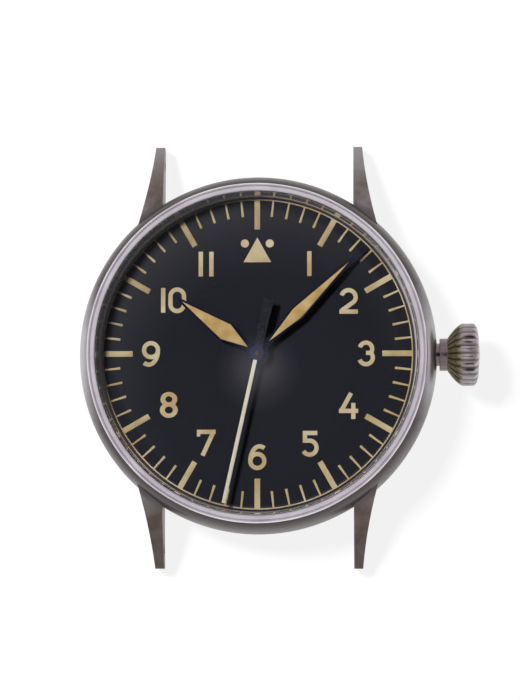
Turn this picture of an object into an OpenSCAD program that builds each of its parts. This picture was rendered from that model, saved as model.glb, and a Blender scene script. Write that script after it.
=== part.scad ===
// Head of a pilot watch with its hand-wound movement.
// The origin lies on the hand axis in the caseback's resting face. +Z points out through the
// dial, +Y to twelve o'clock and +X to the crown. Angles on the dial run clockwise from twelve.

/* [Case] */
// Radius of the dial opening in the bezel
opening_r = 18.75; // [18.25:0.05:19.25]
// How far the bezel's lip covers the flange of the crystal
lip_cover = 0.15; // [0.1:0.01:0.25]
// Width of the gasket round the crystal
glass_gasket_w = 0.25; // [0.2:0.05:0.4]
// Wall of the case middle at its widest
case_wall = 1.85; // [1.8:0.05:2.6]
// Height of the case middle's lower face
case_low = 1.3; // [1.2:0.05:1.5]
// How far the shoulder stands in from the widest line
shoulder_in = 1.2; // [0.9:0.1:1.25]
// How far the lower edge stands in from the widest line
belly_in = 0.9; // [0.6:0.1:1.1]
// Height of the widest line of the case
widest_z = 4.6; // [4:0.1:5.2]

/* [Lugs] */
// Space between the two lugs of a pair
strap_gap = 22.4; // [20.4:0.2:24.4]
// How far a lug reaches past the case
lug_reach = 4; // [3.6:0.1:5]
// Width of a lug at its tip
lug_tip_w = 1.05; // [0.9:0.05:1.5]
// Width of a lug where it flows into the case
lug_root_w = 2.75; // [2.3:0.05:3.1]
// Height of the tip's lower corner
lug_tip_low = 0.6; // [0.4:0.1:1]
// Height of the tip's end face
lug_tip_h = 1.9; // [1.8:0.1:2.6]
// Radius of the hole for the strap bar
bar_hole_r = 0.6; // [0.4:0.05:0.7]
// Distance of the strap bar from the lug's tip
bar_inset = 2.3; // [1.8:0.1:2.6]

/* [Caseback] */
// Thickness of the caseback's plate
back_t = 1.4; // [1.2:0.1:1.8]
// Radius of the raised disc that the watch rests on
back_rest_r = 15.5; // [13:0.5:16.5]
// Height of the raised disc over the flange
back_step = 0.5; // [0.3:0.1:0.7]
// Width of a notch for the case key
key_notch_w = 2.6; // [2:0.1:3.2]
// Depth of a notch for the case key
key_notch_depth = 0.9; // [0.6:0.1:1.2]
// Number of key notches
key_notches = 6; // [3:1:12]

/* [Crystal and bezel] */
// Thickness of the crystal's flange
glass_flange_t = 0.75; // [0.6:0.05:0.9]
// Rise of the dome over the edge of the crystal
dome_rise = 0.75; // [0.4:0.05:1]
// Height of the crystal's straight edge over its flange
glass_edge_h = 0.7; // [0.5:0.05:0.9]
// Thickness of the crystal in its middle
glass_t = 1.3; // [1:0.1:1.6]
// Thickness of the bezel's lip
lip_t = 0.55; // [0.45:0.05:0.8]
// Depth of the collar that the bezel is pressed on
collar_h = 1.15; // [1:0.05:1.3]
// Radius of the bezel's outer edge over the opening
bezel_w = 1; // [0.9:0.01:1.1]
// Distance of the fine groove from the bezel's outer edge
groove_in = 0.38; // [0.3:0.02:0.5]
// Width of the fine groove
groove_w = 0.09; // [0.06:0.01:0.14]

/* [Dial] */
// Thickness of the dial with its feet plate
dial_t = 0.4; // [0.3:0.05:0.6]
// Depth of the rehaut from the crystal to the dial
rehaut_h = 1.7; // [1.6:0.05:2]
// How far the rehaut narrows from the crystal down to the dial
rehaut_slope = 0.62; // [0.3:0.02:0.7]
// Thickness of the printed and luminous marks
mark_t = 0.07; // [0.05:0.01:0.12]
// Gap between the thin circle of the minute track and the foot of the rehaut
track_gap = 0.2; // [0.12:0.02:0.6]
// Width of the thin circle
track_w = 0.13; // [0.1:0.01:0.2]
// Length of a five-minute bar as a share of the thin circle's radius
bar_len_share = 0.189; // [0.165:0.001:0.21]
// Width of a five-minute bar
bar_w = 0.66; // [0.56:0.02:0.8]
// Length of a minute mark as a share of the thin circle's radius
tick_len_share = 0.103; // [0.08:0.001:0.12]
// Width of a minute mark at its inner end
tick_w = 0.3; // [0.24:0.02:0.4]
// Width of a minute mark at the circle
tick_outer_w = 0.19; // [0.14:0.01:0.24]
// Height of a numeral as a share of the thin circle's radius
numeral_h_share = 0.168; // [0.15:0.001:0.185]
// Stroke of a numeral as a share of its height
stroke_share = 0.165; // [0.14:0.005:0.2]
// Width of the triangle at twelve as a share of the thin circle's radius
triangle_w_share = 0.18; // [0.16:0.001:0.195]
// Height of the triangle at twelve as a share of the thin circle's radius
triangle_h_share = 0.161; // [0.14:0.001:0.175]
// Distance of the triangle's base from the hand axis as a share of the thin circle's radius
triangle_y_share = 0.597; // [0.575:0.001:0.61]
// Diameter of the two dots beside the triangle
dot_d = 0.95; // [0.8:0.05:1.2]

/* [Hands] */
// Length of the hour hand from its axis
hour_len = 11.7; // [10.5:0.1:12.5]
// Widest width of the hour hand
hour_w = 2.44; // [2:0.02:2.7]
// Gap between the minute hand's tip and the thin circle
minute_gap = 0.55; // [0.2:0.05:1.2]
// Widest width of the minute hand
minute_w = 1.78; // [1.4:0.02:2]
// Gap between the seconds hand's tip and the thin circle
seconds_gap = 0.15; // [0:0.05:1]
// Width of the seconds hand
seconds_w = 0.45; // [0.35:0.01:0.55]
// Length of the seconds hand's tail
tail_len = 6.4; // [5.5:0.1:7]
// Width of the seconds hand's tail at its end
tail_w = 1.25; // [1:0.05:1.5]
// Blued edge that the luminous filling leaves
hand_edge = 0.19; // [0.16:0.01:0.3]
// Thickness of the hour and minute hands
hand_t = 0.2; // [0.15:0.01:0.24]
// Angle of the hour hand
hour_angle = 304.7; // [0:0.1:360]
// Angle of the minute hand
minute_angle = 45.3; // [0:0.1:360]
// Angle of the seconds hand
seconds_angle = 192.5; // [0:0.1:360]

/* [Crown] */
// Largest radius of the crown
crown_r = 3.67; // [3.3:0.01:3.8]
// Length of the crown's neck
crown_neck_len = 0.9; // [0.8:0.05:1.3]
// Radius of the crown's neck
crown_neck_r = 1.9; // [1.7:0.05:2]
// Length of the cone from the neck to the grip
crown_cone_len = 1.8; // [1.3:0.05:2]
// Length of the grip
crown_grip_len = 1.15; // [1:0.05:1.5]
// Length of the rounded end
crown_end_len = 0.88; // [0.7:0.01:1.1]
// Number of rounded ridges round the crown
crown_ridges = 24; // [18:1:30]
// Travel of the crown from winding to hand setting
crown_travel = 1.2; // [0.9:0.1:1.3]

/* [Movement] */
// Radius of the movement as a share of the case's bore
movement_share = 0.668; // [0.6:0.002:0.69]
// Thickness of the bridges
bridge_t = 0.7; // [0.6:0.05:0.9]
// Height of the space for the train
train_h = 2.2; // [2.2:0.05:2.5]
// Thickness of the main plate
plate_t = 1.5; // [1.5:0.05:1.8]
// Depth of the space under the dial for the motion work
motion_h = 0.7; // [0.7:0.05:0.9]
// Distance from the centre to the barrel's axis as a share of the movement's radius
barrel_share = 0.5; // [0.5:0.001:0.515]
// Distance from the centre to the third wheel's axis as a share of the movement's radius
third_share = 0.3164; // [0.316:0.0002:0.322]
// Distance from the centre to the escape wheel's axis as a share of the movement's radius
escape_share = 0.3169; // [0.3165:0.0001:0.3185]
// Distance from the centre to the balance's axis as a share of the movement's radius
balance_share = 0.6406; // [0.638:0.0002:0.648]
// Radius of the balance's rim as a share of the movement's radius
balance_rim_share = 0.328; // [0.305:0.001:0.328]
// Radius of the escape wheel's tips as a share of the movement's radius
escape_tip_share = 0.1484; // [0.1445:0.0001:0.15]
// Radius of the winding stem
stem_r = 0.6; // [0.5:0.02:0.62]

/* [Fits] */
// Radial clearance of a running shaft
run = 0.03; // [0.02:0.01:0.05]
// Clearance between pieces that pass each other
pass = 0.1; // [0.08:0.01:0.12]
// Overrun of a cut past the face that it opens
over = 0.5; // [0.4:0.1:1]

/* [Hidden] */
$fn = 96;

// Radial stack from the dial opening to the widest line of the case
glass_r = opening_r + lip_cover;
bore_r = glass_r + glass_gasket_w;
case_r = bore_r + case_wall;
bezel_r = opening_r + bezel_w;
rehaut_low_r = opening_r - rehaut_slope;
dial_r = bore_r - pass;

// The dial's marks and the hands keep their proportions to the thin circle
track_r = rehaut_low_r - track_gap;
bar_len = track_r * bar_len_share;
tick_len = track_r * tick_len_share;
numeral_h = track_r * numeral_h_share;
numeral_stroke = numeral_h * stroke_share;
triangle_w = track_r * triangle_w_share;
triangle_h = track_r * triangle_h_share;
triangle_y = track_r * triangle_y_share;
minute_len = track_r - minute_gap;
seconds_len = track_r - seconds_gap;

// The movement is drawn on a grid of 128 squares to its radius
movement_r = bore_r * movement_share;
grid = movement_r / 128;
barrel_d = movement_r * barrel_share;
third_d = movement_r * third_share;
escape_d = movement_r * escape_share;
balance_d = movement_r * balance_share;
balance_r = movement_r * balance_rim_share;
escape_r = movement_r * escape_tip_share;

// Heights from the caseback up to the bezel
wheels_z = back_t + 3 * pass;
ratchet_t = bridge_t / 2;
bridge_z = wheels_z + ratchet_t + pass / 2;
train_z = bridge_z + bridge_t;
plate_z = train_z + train_h;
motion_z = plate_z + plate_t;
dial_z = motion_z + motion_h;
face_z = dial_z + dial_t;
glass_z = face_z + rehaut_h;
lip_z = glass_z + glass_flange_t;
top_z = lip_z + lip_t;
shoulder_z = lip_z - collar_h;
collar_share = 0.4;
collar_r = bezel_r - (bezel_r - bore_r) * collar_share;

// Crown, stem and the levers that shift them
stem_z = plate_z + plate_t / 3;
crown_x = case_r + 2.5 * pass;
neck_wall = 0.47;
tube_r = crown_neck_r - neck_wall - pass;
tube_bore_r = stem_r + 1.5 * pass;
neck_bore_r = tube_r + pass;
crown_wheel_x = 66 * grid;
face_teeth = 21;
winding_teeth = 13;
face_gear_r = 21 * grid;
face_gear_w = 10 * grid;
face_m = 2 * face_gear_r / face_teeth;
winding_r = face_m * winding_teeth / 2;
pinion_x = crown_wheel_x + face_gear_r - face_gear_w / 2 - pass;
pinion_len = 14 * grid;
sliding_len = 13.5 * grid;
sliding_r = 10 * grid;
sliding_x = pinion_x - pass - sliding_len;
sliding_travel_share = 0.8;
sliding_travel = sliding_travel_share * crown_travel;
groove_x = pinion_x + pinion_len + 12 * grid;
lever_arm = 30 * grid;

// Places of the train, seen from the dial
function polar(r, a) = [r * cos(a), r * sin(a)];
barrel_a = 90;
third_a = 218;
escape_a = 280;
balance_a = 300;
barrel_at = polar(barrel_d, barrel_a);
third_at = polar(third_d, third_a);
escape_at = polar(escape_d, escape_a);
balance_at = polar(balance_d, balance_a);
lever_line = balance_at - escape_at;
lever_a = atan2(lever_line[1], lever_line[0]);
pallet_d = escape_r / cos(30);
pallet_at = escape_at + polar(pallet_d, lever_a);
fork_len = norm(lever_line) - pallet_d;

// Teeth of the train
barrel_teeth = 72;
centre_leaves = 9;
centre_teeth = 80;
third_leaves = 10;
third_teeth = 75;
seconds_leaves = 10;
seconds_teeth = 72;
escape_leaves = 6;
escape_teeth = 15;
cannon_teeth = 12;
minute_teeth = 36;
minute_leaves = 10;
hour_teeth = 40;
setting_teeth = 20;
crown_wheel_teeth = 36;
ratchet_teeth = 56;
function mesh_module(d, a, b) = 2 * d / (a + b);
barrel_m = mesh_module(barrel_d, barrel_teeth, centre_leaves);
centre_m = mesh_module(third_d, centre_teeth, third_leaves);
third_m = mesh_module(third_d, third_teeth, seconds_leaves);
seconds_m = mesh_module(escape_d, seconds_teeth, escape_leaves);
motion_d = 24 * grid;
minute_at = [motion_d, 0];
cannon_m = mesh_module(motion_d, cannon_teeth, minute_teeth);
hour_m = mesh_module(motion_d, minute_leaves, hour_teeth);
setting_at = minute_at + [cannon_m * (minute_teeth + setting_teeth) / 2, 0];
ratchet_line = barrel_at - [crown_wheel_x, 0];
ratchet_a = atan2(ratchet_line[1], ratchet_line[0]);
ratchet_m = mesh_module(norm(ratchet_line), crown_wheel_teeth, ratchet_teeth);

// Heights inside the train space, counted up from the bridges
wheel_t = 0.16;
low_gap = 0.08;
seconds_z = train_z + low_gap;
third_z = seconds_z + 2 * wheel_t;
barrel_z = third_z;
drum_h = 1.4;
escape_drop = 0.62;
escape_z = plate_z - escape_drop;
centre_drop = 0.3;
centre_z = plate_z - centre_drop;
fork_t = 0.18;
balance_z = train_z + 2 * wheel_t;
rim_h = 0.42;
pallet_bridge_z = balance_z + rim_h + 1.5 * pass;
spring_h = 0.12;
hairspring_r = 21 * grid;
spring_z = train_z + pass;

// Arbors, pivots and jewels
arbor_r = 1.4 * grid;
pivot_r = 0.8 * grid;
jewel_r = 5 * grid;
jewel_t = 0.25;
pivot_len = 0.24;
hub_r = 4.5 * grid;

// Motion work and hand seats
seconds_arbor_r = 2 * grid;
centre_bore_r = seconds_arbor_r + 2 * run;
cannon_r = 4.5 * grid;
centre_arbor_r = 3.5 * grid;
hour_tube_wall = 3 * grid;
hour_tube_r = cannon_r + run + hour_tube_wall;
cannon_gear_z = motion_z + low_gap;
minute_pinion_z = cannon_gear_z + 2.4 * pass;
gear_t = 0.18;
post_r = 2.5 * grid;
hand_gap = 0.4;
hour_seat_z = face_z + hand_gap;
minute_seat_z = hour_seat_z + hand_t + hand_gap;
seconds_seat_z = minute_seat_z + hand_t + hand_gap - pass;
hour_hub_w = 0.55;
minute_hub_w = 0.9;
seconds_hand_t = 0.12;
hand_hub_share = 0.62;

// One tooth as shares of its pitch and its module: half width at root, tip, and their depths
tooth_root_share = 0.24;
tooth_tip_share = 0.09;
leaf_root_share = 0.2;
leaf_tip_share = 0.09;
addendum_share = 0.85;
dedendum_share = 1.05;

steel = "#8f8a88";
dark_steel = "#6f6a68";
bright_steel = "#b9b4b8";
plate_grey = "#b5b0a2";
gilt = "#c8a45c";
blued = "#23305c";
ruby = "#b3224a";
lume = "#d8bf86";
dial_black = "#1c1e22";
seal_black = "#26262a";

// Points on a round arc from angle a0 to a1
function arc(c, r, a0, a1, n) = [for (i = [0:n]) c + polar(r, a0 + (a1 - a0) * i / n)];

// Outline of a wheel with n teeth of module m, the first tooth at angle a
function teeth(n, m, a, root, tip) = [for (i = [0:n - 1]) each [
    polar(m * (n / 2 - dedendum_share), a + (i - root) * 360 / n),
    polar(m * (n / 2 + addendum_share), a + (i - tip) * 360 / n),
    polar(m * (n / 2 + addendum_share), a + (i + tip) * 360 / n),
    polar(m * (n / 2 - dedendum_share), a + (i + root) * 360 / n)]];

// First tooth of wheel b so that it meshes with wheel a, whose first tooth is at angle first
function meshed(first, na, nb, line) = line + 180 - (0.5 - (line - first) * na / 360) * 360 / nb;

module toothed(n, m, t, a = 0) {
    linear_extrude(t) polygon(teeth(n, m, a, tooth_root_share, tooth_tip_share));
}

module leaves(n, m, t, a = 0) {
    linear_extrude(t) polygon(teeth(n, m, a, leaf_root_share, leaf_tip_share));
}

// A tube, or a disc where the inner radius is zero
module tube(r, bore, h) {
    difference() {
        cylinder(r = r, h = h);
        if (bore > 0) translate([0, 0, -over]) cylinder(r = bore, h = h + 2 * over);
    }
}

// A train wheel: toothed rim, spokes and hub
module spoked(n, m, t, spokes, a = 0) {
    rim = m * (n / 2 - 2 * dedendum_share) - t;
    difference() {
        toothed(n, m, t, a);
        translate([0, 0, -over]) cylinder(r = rim, h = t + 2 * over);
    }
    cylinder(r = hub_r, h = t);
    for (i = [0:spokes - 1]) rotate(i * 360 / spokes + a)
        translate([0, -hub_r / 2.5, 0]) cube([rim + t, hub_r / 1.25, t]);
}

// An arbor between two jewels
module arbor(low, high) {
    translate([0, 0, low]) cylinder(r = arbor_r, h = high - low);
    translate([0, 0, low - pivot_len]) cylinder(r = pivot_r, h = high - low + 2 * pivot_len);
}

module at(p, z = 0) { translate([p[0], p[1], z]) children(); }

// Turns a child's +Z to +X at the height of the stem
module along_stem(x) { translate([x, 0, stem_z]) rotate([0, 90, 0]) children(); }

// Places a child on the dial at a clockwise angle, its +Y pointing outwards
module at_hour(a) { rotate(-a) children(); }

/* Case */

lug_tip_y = case_r + lug_reach;
lug_run_share = 0.46;
lug_run = case_r * lug_run_share;
lug_flare_share = 0.475;
lug_steps = 10;
lug_inside_share = 1.4;
lug_low_share = 0.9;
bar_y = lug_tip_y - bar_inset;
bar_z_share = 0.95;
bar_z = lug_tip_low + lug_tip_h * bar_z_share;
function lug_w(t) = lug_tip_w
    + (lug_root_w - lug_tip_w) * (lug_flare_share * t + (1 - lug_flare_share) * t * t);

// Plan of one lug, from its tip to the inside of the case wall
module lug_plan() {
    x = strap_gap / 2;
    flank = [for (i = [0:lug_steps]) let (t = lug_inside_share * i / lug_steps)
        [x + lug_w(t), lug_tip_y - t * lug_run]];
    polygon(concat([[x, lug_tip_y]], flank, [[x, lug_tip_y - lug_inside_share * lug_run]]));
}

// Side of one lug: y runs along the first axis and the height along the second
module lug_side() {
    y0 = lug_tip_y - lug_inside_share * lug_run;
    root_z = shoulder_z - shoulder_in / 2;
    tip_z = lug_tip_low + lug_tip_h;
    top = [for (i = [0:lug_steps]) let (u = i / lug_steps)
        [y0 + (lug_tip_y - y0) * u, tip_z + (root_z - tip_z) * cos(90 * u)]];
    low = [for (i = [0:4]) let (u = i / 4)
        [lug_tip_y - (lug_tip_y - case_r * lug_low_share) * u,
            lug_tip_low + (case_low - lug_tip_low) * sin(90 * u)]];
    polygon(concat(top, low, [[y0, case_low]]));
}

module lug() {
    intersection() {
        linear_extrude(top_z) lug_plan();
        translate([strap_gap / 2 - over, 0, 0]) rotate([90, 0, 90])
            linear_extrude(2 * lug_root_w + over) lug_side();
    }
}

// Half section of the case middle, without its bore
module case_section() {
    flank = [for (i = [0:8]) let (u = i / 8)
        [case_r - shoulder_in * (1 - cos(90 * u)),
            widest_z + pass + (shoulder_z - widest_z - pass) * sin(90 * u)]];
    belly = [for (i = [0:6]) let (u = i / 6)
        [case_r - belly_in * (1 - sin(90 * u)), case_low + (widest_z - case_low) * (1 - cos(90 * u))]];
    polygon(concat([[0, case_low]], belly, flank,
        [[collar_r, shoulder_z], [collar_r, lip_z], [0, lip_z]]));
}

module case_middle() {
    color(steel) difference() {
        union() {
            rotate_extrude() case_section();
            for (x = [0, 1], y = [0, 1]) mirror([x, 0, 0]) mirror([0, y, 0]) lug();
        }
        translate([0, 0, -over]) cylinder(r = bore_r, h = lip_z + 2 * over);
        along_stem(bore_r - over) cylinder(r = tube_r, h = case_wall + 2 * over);
        for (y = [-bar_y, bar_y]) translate([-case_r, y, bar_z])
            rotate([0, 90, 0]) cylinder(r = bar_hole_r, h = 2 * case_r);
    }
}

module bezel() {
    edge = lip_t / 2;
    groove_r = bezel_r - groove_in;
    color(bright_steel) rotate_extrude() polygon([
        [collar_r, shoulder_z], [bezel_r, shoulder_z], [bezel_r, top_z - edge],
        [groove_r + groove_w, top_z - groove_w], [groove_r + groove_w, top_z - edge],
        [groove_r, top_z - edge], [groove_r, top_z - groove_w / 2],
        [opening_r + groove_w, top_z], [opening_r, top_z - groove_w],
        [opening_r, lip_z], [collar_r, lip_z]]);
}

module crystal() {
    edge_r = opening_r - run;
    edge_z = lip_z + glass_edge_h;
    hollow_h = edge_z + dome_rise - glass_t - glass_z;
    dome = [for (i = [0:10]) let (u = i / 10) [edge_r * (1 - u), edge_z + dome_rise * (1 - pow(1 - u, 2))]];
    inner = [for (i = [0:10]) let (u = i / 10)
        [(edge_r - glass_t) * u, glass_z + hollow_h * (1 - pow(u, 2))]];
    color("#dfe8ea", 0.3) rotate_extrude() polygon(concat(
        [[glass_r, glass_z], [glass_r, lip_z], [edge_r, lip_z]], dome, inner));
}

module crystal_gasket() {
    color(seal_black) translate([0, 0, glass_z])
        tube(bore_r, glass_r, glass_flange_t);
}

module rehaut_ring() {
    color(bright_steel) rotate_extrude() polygon([
        [rehaut_low_r, face_z], [bore_r, face_z], [bore_r, glass_z],
        [opening_r, glass_z]]);
}

module crown_tube() {
    color(bright_steel) along_stem(bore_r)
        difference() {
            cylinder(r = tube_r, h = crown_x + crown_neck_len / 2 - bore_r);
            translate([0, 0, -over]) cylinder(r = tube_bore_r, h = case_r);
        }
}

back_flange_r = case_r - belly_in - pass;
thread_h = 1.2;
thread_w = 0.9;
gasket_d = 0.5;
module caseback() {
    rim = back_flange_r;
    color(steel) difference() {
        rotate_extrude() polygon([
            [0, 0], [back_rest_r, 0], [back_rest_r + back_step, back_step],
            [rim - back_step / 2, back_step], [rim, back_step * 1.5], [rim, case_low], [bore_r, case_low],
            [bore_r, back_t + thread_h], [bore_r - thread_w, back_t + thread_h],
            [bore_r - thread_w, back_t], [0, back_t]]);
        for (i = [0:key_notches - 1]) rotate(i * 360 / key_notches + 30)
            translate([rim - key_notch_depth - back_step, -key_notch_w / 2, -over])
                cube([case_r, key_notch_w, over + back_step + key_notch_depth / 2]);
        caseback_seat();
    }
}

module caseback_seat() {
    translate([0, 0, case_low - gasket_d / 2]) difference() {
        cylinder(r = bore_r + gasket_d, h = gasket_d / 2 + over);
        translate([0, 0, -over]) cylinder(r = bore_r, h = gasket_d + 3 * over);
    }
}

module caseback_gasket() {
    color(seal_black) translate([0, 0, case_low - gasket_d / 2])
        tube(bore_r + gasket_d, bore_r, gasket_d / 2);
}

ring_low_z = bridge_z;
ring_step_z = back_t + thread_h;
module movement_ring() {
    color(plate_grey) difference() {
        union() {
            translate([0, 0, ring_step_z]) cylinder(r = bore_r - pass / 2, h = dial_z - ring_step_z);
            translate([0, 0, ring_low_z])
                cylinder(r = bore_r - thread_w - pass, h = dial_z - ring_low_z);
        }
        cylinder(r = movement_r + pass / 2, h = dial_z + over);
        along_stem(movement_r - over) cylinder(r = tube_bore_r, h = case_r);
        for (a = clamp_angles) rotate(a) at([clamp_d, 0], ring_low_z - over)
            cylinder(r = screw_r, h = 2 * bridge_t + over);
    }
}

clamp_angles = [60, 180, 300];
clamp_d = (movement_r + bore_r - thread_w) / 2;
clamp_t = 0.3;
clamp_grip = 12 * grid;
screw_r = 4 * grid;
screw_head_share = 1.8;
screw_head_h_share = 0.7;
module casing_clamps() {
    for (a = clamp_angles) rotate(a) color(bright_steel) difference() {
        translate([0, 0, ring_low_z - clamp_t]) union() {
            translate([movement_r - clamp_grip, -screw_r * 2, 0])
                cube([clamp_d - movement_r + clamp_grip, screw_r * 4, clamp_t]);
            at([clamp_d, 0]) cylinder(r = screw_r * 2, h = clamp_t);
        }
        at([clamp_d, 0]) cylinder(r = screw_r, h = ring_low_z + over);
    }
}

// A slotted screw: its head stands down from z and its shank goes up into the plate
module screw(z, shank) {
    head = screw_r * screw_head_share;
    head_h = screw_r * screw_head_h_share;
    difference() {
        translate([0, 0, z - head_h]) cylinder(r = head, h = head_h);
        translate([-head * 2, -screw_r / 4, z - head_h - over])
            cube([head * 4, screw_r / 2, over + head_h / 3]);
    }
    translate([0, 0, z]) cylinder(r = screw_r, h = shank);
}

module casing_screws() {
    for (a = clamp_angles) rotate(a) at([clamp_d, 0])
        color(blued) screw(ring_low_z - clamp_t, bridge_t + clamp_t);
}

/* Dial */

module dial() {
    color(dial_black) difference() {
        translate([0, 0, dial_z]) cylinder(r = dial_r, h = dial_t);
        translate([0, 0, dial_z - over]) cylinder(r = hour_tube_r + 2 * pass, h = dial_t + 2 * over);
    }
}

module minute_track() {
    color(lume) translate([0, 0, face_z]) {
        tube(track_r + track_w / 2, track_r - track_w / 2, mark_t);
        for (i = [0:59]) at_hour(i * 6) linear_extrude(mark_t)
            if (i % 5 == 0) translate([-bar_w / 2, track_r - bar_len])
                square([bar_w, bar_len - track_w / 4]);
            else polygon([[-tick_w / 2, track_r - tick_len], [tick_w / 2, track_r - tick_len],
                [tick_outer_w / 2, track_r - track_w / 4], [-tick_outer_w / 2, track_r - track_w / 4]]);
    }
}

// A stroke of width w along the points p
function bend(p, i) = let (n = len(p) - 1, d = p[min(i + 1, n)] - p[max(i - 1, 0)])
    [-d[1], d[0]] / norm(d);
module stroke(p, w) {
    n = len(p) - 1;
    polygon(concat([for (i = [0:n]) p[i] + bend(p, i) * w / 2],
        [for (i = [n:-1:0]) p[i] - bend(p, i) * w / 2]));
}

// An upright ring with round ends
module loop(w, h, s) {
    difference() {
        capsule(w, h);
        capsule(w - 2 * s, h - 2 * s);
    }
}

module capsule(w, h) {
    square([w, h - w], center = true);
    for (y = [-1, 1]) translate([0, y * (h - w) / 2]) circle(d = w);
}

// Numerals 0 to 9, centred: a form's first numbers are shares of the numeral's height h and its
// last ones are shares of the stroke s
zero_w_share = 0.69;
one_w_share = 1.02;
one_h_share = 0.96;
two_r_share = 0.275;
two_foot_share = 0.72;
three_r_share = 0.24;
three_low_r_share = 0.26;
three_waist_share = 0.02;
four_foot_share = 0.1;
four_left_share = 0.37;
four_bar_share = 0.27;
four_stem_share = 0.62;
five_left_share = 0.26;
five_w_share = 0.56;
bowl_r_share = 0.27;
hook_w_share = 0.36;
seven_left_share = 0.35;
seven_w_share = 0.72;
seven_bend_shares = [[0.29, 0.42], [-0.13, -0.5]];
eight_r_share = 0.2;
eight_w_share = 1.15;
module numeral(n) {
    h = numeral_h;
    s = numeral_stroke;
    top = h / 2 - s / 2;
    if (n == 0) loop(h * zero_w_share, h, s);
    if (n == 1) square([s * one_w_share, h * one_h_share], center = true);
    if (n == 2) {
        r = h * two_r_share;
        stroke(concat(arc([0, top - r], r, 165, -38, 14), [[-r, -h / 2 + s * two_foot_share]]), s);
        translate([-r - s / 2, -h / 2]) square([2 * r + s, s]);
    }
    if (n == 3) {
        r = h * three_r_share;
        q = h * three_low_r_share;
        waist = h * three_waist_share;
        stroke(arc([0, top - r], r, 165, -asin((top - r - waist) / r), 14), s);
        stroke(arc([0, q - top], q, asin((waist - q + top) / q), -160, 16), s);
        translate([0, waist - s / 2]) square([r * cos(asin((top - r - waist) / r)), s]);
    }
    if (n == 4) {
        stroke([[h * four_foot_share, h / 2], [-h * (four_left_share - s / h / 2), -h / 5]], s);
        translate([-h * four_left_share, -h * four_bar_share]) square([2 * h * four_left_share, s]);
        translate([h * four_foot_share, -h / 2]) square([s, h * four_stem_share]);
    }
    if (n == 5) {
        r = h * bowl_r_share;
        translate([-h * five_left_share, h / 2 - s]) square([h * five_w_share, s]);
        translate([-h * five_left_share, h / 2 - s * 2.4]) square([s, s * 2]);
        stroke(concat([[-h * five_left_share, 2 * r - top]], arc([0, r - top], r, 90, -150, 18)), s);
    }
    if (n == 6) {
        r = h * bowl_r_share;
        translate([0, r - top]) circle_ring(r, s);
        stroke([for (t = [0:10:120])
            [h * hook_w_share * (1 - cos(t)) - r, r - top + (2 * top - r) * sin(t)]], s);
    }
    if (n == 7) {
        translate([-h * seven_left_share, h / 2 - s]) square([h * seven_w_share, s]);
        translate([-h * seven_left_share, h / 2 - s * 1.6]) square([s * 0.8, s]);
        stroke(h * seven_bend_shares, s);
    }
    if (n == 8) {
        r = h * eight_r_share;
        q = (h - s - 2 * r) / 2;
        scale([eight_w_share, 1]) {
            translate([0, top - r]) circle_ring(r, s);
            translate([0, q - top]) circle_ring(q, s);
        }
    }
    if (n == 9) rotate(180) numeral(6);
}

module circle_ring(r, s) {
    difference() {
        circle(r = r + s / 2);
        circle(r = r - s / 2);
    }
}

// Distances of the numerals 1 to 9 from the hand axis, then the places of 10 and 11, all as
// shares of the thin circle's radius
numeral_shares = [0.677, 0.685, 0.7055, 0.683, 0.677, 0.672, 0.667, 0.664, 0.692];
ten_shares = [-0.548, 0.35];
ten_one_share = 0.39;
ten_zero_share = 0.155;
eleven_shares = [-0.334, 0.586];
eleven_gap_share = 0.206;
dot_shares = [0.45, 0.76];
module dial_numerals() {
    color(lume) translate([0, 0, face_z]) linear_extrude(mark_t) {
        for (n = [1:9]) translate(polar(track_r * numeral_shares[n - 1], 90 - n * 30)) numeral(n);
        translate(track_r * ten_shares - [numeral_h * ten_one_share, 0]) numeral(1);
        translate(track_r * ten_shares + [numeral_h * ten_zero_share, 0]) numeral(0);
        for (x = [-1, 1]) translate(track_r * eleven_shares + [x * numeral_h * eleven_gap_share, 0])
            numeral(1);
        polygon([[-triangle_w / 2, triangle_y], [triangle_w / 2, triangle_y], [0, triangle_y + triangle_h]]);
        for (x = [-1, 1]) translate([x * triangle_w * dot_shares[0], triangle_y + triangle_h * dot_shares[1]])
            circle(d = dot_d);
    }
}

/* Hands */

// Root and widest place of a hand's kite as shares of its length, its half widths at the root
// and the tip as shares of its width, and where the filling of each hand ends
kite_shares = [0.08, 0.38];
kite_root_w_share = 0.13;
kite_tip_w_share = 0.05;
filling_root_share = 0.11;
hour_filling_share = 0.915;
minute_filling_share = 0.87;
kite_arm_share = 0.13;

module kite(len, w) {
    polygon([[w * kite_root_w_share, kite_shares[0] * len], [w / 2, kite_shares[1] * len],
        [w * kite_tip_w_share, len], [-w * kite_tip_w_share, len],
        [-w / 2, kite_shares[1] * len], [-w * kite_root_w_share, kite_shares[0] * len]]);
}

// The luminous filling keeps a blued edge all round
module kite_filling(len, w, edge, tip) {
    polygon([[0, filling_root_share * len], [w / 2 - edge, kite_shares[1] * len],
        [0, tip * len], [edge - w / 2, kite_shares[1] * len]]);
}

module hand(len, w, edge, tip, hub, bore, z) {
    translate([0, 0, z]) difference() {
        union() {
            linear_extrude(hand_t) kite(len, w);
            cylinder(r = hub, h = hand_t);
            translate([-hub * hand_hub_share / 2, 0, 0])
                cube([hub * hand_hub_share, len * kite_arm_share, hand_t]);
        }
        translate([0, 0, -over]) cylinder(r = bore, h = hand_t + 2 * over);
        translate([0, 0, -over]) linear_extrude(hand_t + 2 * over) kite_filling(len, w, edge, tip);
    }
}

module hour_hand() {
    color(blued) at_hour(hour_angle)
        hand(hour_len, hour_w, hand_edge, hour_filling_share, hour_tube_r + hour_hub_w, hour_tube_r,
            hour_seat_z);
}

module hour_hand_lume() {
    color(lume) at_hour(hour_angle) translate([0, 0, hour_seat_z])
        linear_extrude(hand_t) kite_filling(hour_len, hour_w, hand_edge, hour_filling_share);
}

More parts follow.
